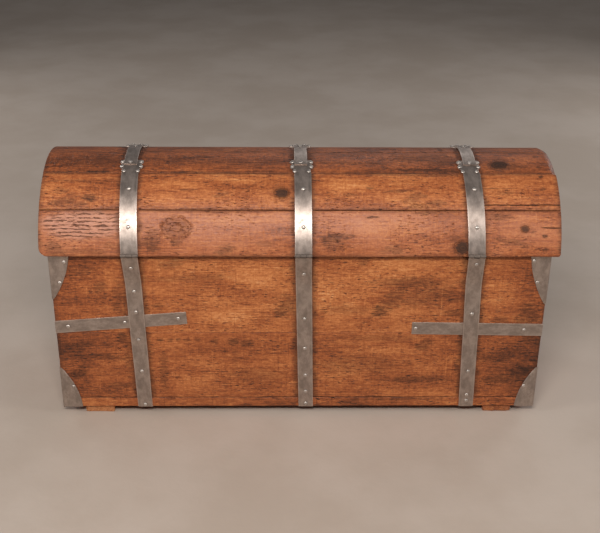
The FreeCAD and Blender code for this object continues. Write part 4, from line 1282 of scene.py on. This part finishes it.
def make_pins(forged):
    def pin(x, side, seed):
        reach = KNUCKLE_REACH + 0.0010
        run = straight((x - reach, side * HINGE_Y, HINGE_Z), (x + reach, side * HINGE_Y, HINGE_Z))
        return rod(run, PIN_R, seed)

    hinge_pins = [pin(line[1], -1, line[1]) for line in STRAP_LINES.values()]
    piece("hinge_pins.rods", hinge_pins, "box", ["hinge_pins"], "forged_iron", forged)
    hasp_pin = pin(STRAP_LINES["middle"][1], 1, 1.0)
    piece("hasp_pin.rod", [hasp_pin], "lid", ["hasp_pin"], "forged_iron", forged)


# ---------------------------------------------------------------- plates
def inset(points, amount):
    """The outline drawn in towards its middle, or let out if the amount is negative."""
    centre = np.mean(points, axis=0)
    moved = []
    for p in points:
        outwards = np.asarray(p) - centre
        size = np.linalg.norm(outwards)
        moved.append(centre + outwards * (size - amount) / size)
    return moved


def plate(outer, place, thickness, seed, inner=None):
    """Flat plate from an outline of 2-D points, with worn edges and maybe a hole of as many points."""
    edge = 0.0006
    outer = [np.asarray(p, float) for p in outer]
    levels = [(outer, 0.0), (outer, thickness - edge), (inset(outer, edge * 0.3), thickness - edge * 0.3),
              (inset(outer, edge), thickness)]
    if inner is not None:
        inner = [np.asarray(p, float) for p in inner]
        levels += [(inset(inner, -edge), thickness), (inset(inner, -edge * 0.3), thickness - edge * 0.3),
                   (inner, thickness - edge), (inner, 0.0)]
    rows = []
    for points, height in levels:
        row = []
        for a, b in points:
            dip = 0.0002 * ripple(a * 40.0, b * 40.0, seed) if height > thickness / 2 else 0.0
            row.append((place(a, b, height - dip), (b, a, height - dip)))
        rows.append(row)
    return shell(rows, closed=inner is not None)


def stadium(half_long, half_high):
    """Points round a shape with straight sides and half-round ends, long along the first axis."""
    flat = half_long - half_high
    points = []
    for middle in (0.0, math.pi):
        for i in range(25):
            a = middle - math.pi / 2 + math.pi * i / 24
            points.append((math.copysign(flat, math.cos(middle)) + half_high * math.cos(a),
                           half_high * math.sin(a)))
    return points


def hit(outline, centre, angle):
    """Where a ray from inside a convex outline meets it."""
    direction = np.array((math.cos(angle), math.sin(angle)))
    best = None
    for p, q in zip(outline, outline[1:] + outline[:1]):
        p = np.asarray(p) - centre
        q = np.asarray(q) - centre
        e = q - p
        cross = direction[0] * e[1] - direction[1] * e[0]
        if abs(cross) < 1e-12:
            continue
        t = (p[0] * e[1] - p[1] * e[0]) / cross
        s = (p[0] * direction[1] - p[1] * direction[0]) / cross
        if t > 0 and -1e-9 <= s <= 1 + 1e-9 and (best is None or t < best):
            best = t
    return centre + direction * best


def make_hasp(sheet):
    """Slotted strap of the fastening, folded up against the lid."""
    x = STRAP_LINES["middle"][1]
    axis_r = math.hypot(HINGE_Y, HINGE_Z - LID_CENTRE_Z)
    touch = LID_R + STRAP_T + HASP_REST_GAP + HASP_T / 2
    turn = 180.0 + (90.0 - HINGE_ANGLE) + math.degrees(math.acos(touch / axis_r))
    turned = Matrix.Rotation(math.radians(turn), 3, "X")
    pivot = Vector((x, HINGE_Y, HINGE_Z))
    half = HASP_W / 2 - 0.0002
    straight_end = HASP_LENGTH - HASP_W / 2
    top = KNUCKLE_R + 0.0008
    outline = [(half, -top), (-half, -top)]
    for i in range(25):
        a = math.pi + math.pi * i / 24
        outline.append((half * math.cos(a), -straight_end + half * math.sin(a)))
    slot_middle = np.array((0.0, -HASP_SLOT_DOWN))
    slot_shape = [(b, a - HASP_SLOT_DOWN) for a, b in stadium(*HASP_SLOT)]
    corners = [math.atan2(p[1] + HASP_SLOT_DOWN, p[0]) for p in outline]
    angles = {round(a % (2 * math.pi), 6) for a in corners} | {i * math.pi / 30 for i in range(60)}
    outer = [hit(outline, slot_middle, a) for a in sorted(angles)]
    inner = [hit(slot_shape, slot_middle, a) for a in sorted(angles)]

    def place(a, b, h):
        return pivot + turned @ Vector((a, h - HASP_T / 2, b))

    tongue_half = 0.0064
    frames = []
    for i in range(5):
        b = -top - 0.001 + (top - 0.001) * i / 4
        frames.append((place(0, b, 0), (1, 0, 0), turned @ Vector((0, 1, 0)), tongue_half, tongue_half))
    parts = [plate(outer, place, HASP_T, 2.0, inner), ribbon(frames, HASP_T, 4.0, across=3)]
    piece("hasp.plate", parts + knuckles(x, 1, False, 3.0), "hasp", ["hasp"], "strap_iron", sheet)


def make_staple(forged):
    low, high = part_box("staple")
    r = 0.0029
    x = (low.x + high.x) / 2
    z0 = low.z + 0.003
    z1 = high.z - 0.003
    half = (z1 - z0) / 2
    y_bend = high.y - 0.003 - half
    run = chain(
        straight((x, HALF_DEPTH - 0.010, z0), (x, y_bend, z0)),
        bend((x, y_bend, (z0 + z1) / 2), -90, 90, half, (0, 1, 0), (0, 0, 1), 12),
        straight((x, y_bend, z1), (x, HALF_DEPTH - 0.010, z1)),
    )
    piece("staple.rod", [rod(run, r, 5.0)], "box", ["staple"], "forged_iron", forged)


def make_handles(sheet, forged):
    for end, name in ENDS:
        x_pivot, _, z = find_joint(name + "_bail_hinge")["pos_m"]
        make_handle_plate(end, name, abs(x_pivot) - HALF_LENGTH, z, sheet)
        make_bail(name, x_pivot, z, forged)


def eye_outlines(out):
    """Outline of a handle plate's eye and of its hole, as distance from the box and height."""
    count = 32
    foot = HANDLE_PLATE_T - 0.0006
    outer = []
    inner = []
    for i in range(count):
        a = 2 * math.pi * i / count
        away = out + EYE_R * math.cos(a)
        height = EYE_R * math.sin(a)
        if away < out:
            away = min(foot + (away - out + EYE_R) / EYE_R * (out - foot), out)
            if abs(height) < 0.0060:
                away = foot
        outer.append((away, height))
        inner.append((out + EYE_BORE_R * math.cos(a), EYE_BORE_R * math.sin(a)))
    return outer, inner


def make_handle_plate(end, name, out, z, sheet):
    """Back plate of a drop handle, with two eyes that hold the bail's axis at a distance from the box."""
    def flat(a, b, h):
        return (end * (HALF_LENGTH + h), a, z + b)

    parts = [plate(stadium(*HANDLE_PLATE_HALF), flat, HANDLE_PLATE_T, 6.0 + end)]
    outer, inner = eye_outlines(out)
    for side in (-1, 1):
        def across_y(a, b, h, side=side):
            return (end * (HALF_LENGTH + a), side * (EYE_NEAR_Y + h), z + b)

        parts.append(plate(outer, across_y, EYE_T, 8.0 + side, inner))
    piece(f"{name}_handle_plate.plate", parts, "box", [f"{name}_handle_plate"], "strap_iron", sheet)


def make_bail(name, x, z, forged):
    """Drop handle: a bent rod, thickest at its ends and in the middle of the grip."""
    node = name + "_bail"
    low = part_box(node)[0].z + 0.005
    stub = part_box(node)[1].y - 0.0002
    leg = 0.044           # distance of the rod's upright parts from the middle
    corner = 0.014        # radius of its lower bends
    turn = 0.005          # and of the bends into the eyes
    half = []
    for side in (-1, 1):
        half.append(chain(
            straight((x, side * stub, z), (x, side * (leg + turn), z), 0.003),
            bend((x, side * (leg + turn), z - turn), 90, 180, turn, (0, side, 0), (0, 0, 1), 5),
            straight((x, side * leg, z - turn), (x, side * leg, low + corner)),
            bend((x, side * (leg - corner), low + corner), 0, -90, corner, (0, side, 0), (0, 0, 1), 8),
            straight((x, side * (leg - corner), low), (x, 0, low)),
        ))

    def radius(t):
        waist = math.exp(-((abs(t - 0.5) - 0.27) / 0.10) ** 2)
        return 0.0048 - 0.0006 * waist + 0.0001 * math.cos(t * 40)

    mesh = rod(chain(half[0], half[1][::-1]), radius, 9.0 + x)
    piece(node + ".rod", [mesh], node, [node], "forged_iron", forged)


# ---------------------------------------------------------------- fasteners
def solids_of(node):
    """Vertices of each separate solid of a CAD node."""
    mesh = frame["nodes"][node].data
    co = np.zeros(len(mesh.vertices) * 3)
    mesh.vertices.foreach_get("co", co)
    co = co.reshape(-1, 3)
    _, same = np.unique(np.round(co, 6), axis=0, return_inverse=True)
    same = same.ravel()
    parent = list(range(same.max() + 1))

    def root(i):
        while parent[i] != i:
            parent[i] = parent[parent[i]]
            i = parent[i]
        return i

    for polygon in mesh.polygons:
        ids = [same[i] for i in polygon.vertices]
        for other in ids[1:]:
            parent[root(other)] = root(ids[0])
    groups = {}
    for index, key in enumerate(same):
        groups.setdefault(root(key), []).append(index)
    return [np.unique(np.round(co[g], 7), axis=0) for g in groups.values()]


def axis_of(points):
    """Top and outward direction of a headed fastener."""
    centred = points - points.mean(axis=0)
    values, vectors = np.linalg.eigh(centred.T @ centred)
    gaps = [abs(values[(i + 1) % 3] - values[(i + 2) % 3]) for i in range(3)]
    axis = vectors[:, int(np.argmin(gaps))]
    along = centred @ axis
    off = np.linalg.norm(centred - np.outer(along, axis), axis=1)
    if along[np.argmax(off)] < (along.max() + along.min()) / 2:
        axis = -axis
        along = -along
    middle = points.mean(axis=0) + axis * along.max()
    return middle, axis


def turned_head(top, axis, profile, seed, sides=20):
    """Solid of revolution below a fastener's top, a little uneven. profile is radius and depth."""
    side = axis.orthogonal().normalized()
    up = axis.cross(side)
    rows = []
    for r, depth in profile:
        row = []
        for k in range(sides):
            a = 2 * math.pi * k / sides
            lump = 1.0 - 0.05 * ripple(math.cos(a) * 1.4, math.sin(a) * 1.4 + depth * 300, seed)
            point = top - axis * depth + (side * math.cos(a) + up * math.sin(a)) * (r * lump)
            row.append((point, (r * math.cos(a) + seed, r * math.sin(a), depth)))
        rows.append(row)
    return shell(rows)


def rivet(number, top, axis):
    """Round head, each a little different, with a stub of its shank."""
    r = RIVET_R * (0.93 + 0.05 * wave(number * 1.7, 0.4, 2.0))
    h = RIVET_H * (0.94 + 0.06 * wave(number * 2.3, 5.0, 1.0))
    dome = [math.radians(12.0 * k) for k in range(1, 8)]
    profile = [(0.0003, 0.0)] + [(r * math.sin(a), h * 0.86 * (1.0 - math.cos(a))) for a in dome]
    profile += [(r * 0.97, h * 0.96), (r * 0.90, h + 0.0001), (0.0016, h + 0.0002), (0.0016, h + 0.012)]
    return turned_head(top - axis * (RIVET_H - h), axis, profile, number * 0.9)


def nail(number, top, axis):
    profile = [(0.0004, 0.0003), (0.0014, 0.0001), (0.0022, 0.0003), (0.0025, 0.0007), (0.0024, 0.0012),
               (0.0012, 0.0014), (0.0012, 0.030)]
    return turned_head(top - axis * 0.0004, axis, profile, number * 1.3, 12)


def make_fasteners(bright, dark):
    kinds = (("rivets", rivet, "rivet_iron", bright), ("nails", nail, "nail_iron", dark))
    for kind, build, slot, finish in kinds:
        for body in ("box", "lid"):
            node = f"{body}_{kind}"
            heads = [axis_of(points) for points in solids_of(node)]
            parts = [build(number, Vector(top), Vector(axis)) for number, (top, axis) in enumerate(heads)]
            piece(node + ".heads", parts, body, [node], slot, finish, sharp=60.0)


# ---------------------------------------------------------------- studio
def area_light(name, place, target, width, height, power, colour):
    data = bpy.data.lights.new(name, "AREA")
    data.shape = "RECTANGLE"
    data.size = width
    data.size_y = height
    data.energy = power
    data.color = colour
    obj = bpy.data.objects.new(name, data)
    obj.location = place
    obj.rotation_mode = "QUATERNION"
    obj.rotation_quaternion = (Vector(target) - Vector(place)).to_track_quat("-Z", "Y")
    bpy.context.scene.collection.objects.link(obj)


def make_floor():
    mesh = bpy.data.meshes.new("floor")
    size = 14.0
    corners = [(-size, -size, 0), (size, -size, 0), (size, size, 0), (-size, size, 0)]
    mesh.from_pydata(corners, [], [(0, 1, 2, 3)])
    floor = bpy.data.objects.new("floor", mesh)
    bpy.context.scene.collection.objects.link(floor)
    material = bpy.data.materials.new("floor")
    material.use_nodes = True
    tree = material.node_tree
    coords = tree.nodes.new("ShaderNodeTexCoord")
    parts = tree.nodes.new("ShaderNodeSeparateXYZ")
    tree.links.new(coords.outputs["Object"], parts.inputs[0])
    x, y, z = [Sock(tree, out) for out in parts.outputs]
    cloudy = speckle(tree, x * 2.2, y * 2.2, z, 5.0, 0.6)
    colour = blend(tree, cloudy.step(0.35, 0.65), (0.42, 0.345, 0.285), (0.47, 0.395, 0.335))
    finish_material(tree, tree.nodes["Principled BSDF"], colour, 0.7 + (cloudy - 0.5) * 0.1,
                    speckle(tree, x * 60.0, y * 60.0, z, 3.0), 0.0005)
    mesh.materials.append(material)


def make_studio():
    make_floor()
    world = bpy.data.worlds.new("studio")
    world.use_nodes = True
    world.node_tree.nodes["Background"].inputs["Color"].default_value = (0.80, 0.80, 0.82, 1.0)
    world.node_tree.nodes["Background"].inputs["Strength"].default_value = 0.16
    bpy.context.scene.world = world
    # place, target, width, height, power and colour
    for name, *light in (
        ("key", (-0.25, -2.35, 2.35), (0.0, -0.1, 0.40), 1.3, 0.5, 69.0, (1.0, 0.96, 0.92)),
        ("left", (-2.7, -1.1, 1.7), (0.0, 0.0, 0.30), 0.9, 0.9, 25.0, (1.0, 0.97, 0.94)),
        ("right", (2.7, -1.0, 1.6), (0.0, 0.0, 0.30), 0.9, 0.9, 25.0, (1.0, 0.97, 0.94)),
        ("back", (0.6, 3.0, 2.6), (0.0, 0.2, 0.35), 1.6, 1.0, 8.0, (1.0, 1.0, 1.0)),
        ("back_left", (-2.6, 2.3, 1.2), (0.0, 0.2, 0.30), 0.9, 0.7, 16.0, (1.0, 1.0, 1.0)),
        ("back_right", (2.6, 2.3, 1.2), (0.0, 0.2, 0.30), 0.9, 0.7, 16.0, (1.0, 1.0, 1.0)),
    ):
        area_light(name, *light)


def make_camera():
    data = bpy.data.cameras.new("camera")
    data.sensor_width = 36.0
    data.lens = 62.04
    data.clip_end = 60.0
    pitch, yaw, roll = (math.radians(a) for a in (25.92, 1.171, 0.559))
    forward = Vector((math.sin(yaw) * math.cos(pitch), math.cos(yaw) * math.cos(pitch), -math.sin(pitch)))
    level = Vector((math.cos(yaw), -math.sin(yaw), 0.0))
    above = level.cross(forward)
    right = level * math.cos(roll) + above * math.sin(roll)
    up = above * math.cos(roll) - level * math.sin(roll)
    turn = Matrix((right, up, -forward)).transposed().to_4x4()
    camera = bpy.data.objects.new("camera", data)
    camera.matrix_world = Matrix.Translation((-0.0458, -2.3585, 1.4563)) @ turn
    bpy.context.scene.collection.objects.link(camera)
    bpy.context.scene.camera = camera


def main():
    bpy.context.scene.view_settings.view_transform = "Standard"
    strap = iron("strap_iron", 1.0, (0.42, 0.345, 0.300), 0.24, 0.40, worn=0.45)
    sheet = iron("sheet_iron", 5.0, (0.42, 0.345, 0.300), 0.24, 0.42)
    forged = iron("forged_iron", 2.0, (0.20, 0.18, 0.165), 0.25, 0.50, rust=0.45, brushed=0.2, depth=0.0006)
    bright = iron("rivet_iron", 3.0, (0.58, 0.52, 0.47), 0.14, 0.42, rust=0.15, brushed=0.0, depth=0.0003,
                  skirt=True)
    dark = iron("nail_iron", 4.0, (0.035, 0.028, 0.024), 0.25, 0.60, rust=0.3, brushed=0.0)
    make_box_boards()
    make_lid_boards()
    make_straps(strap)
    make_corners(sheet, strap)
    make_pins(forged)
    make_hasp(sheet)
    make_staple(forged)
    make_handles(sheet, forged)
    make_fasteners(bright, dark)
    make_studio()
    make_camera()


main()
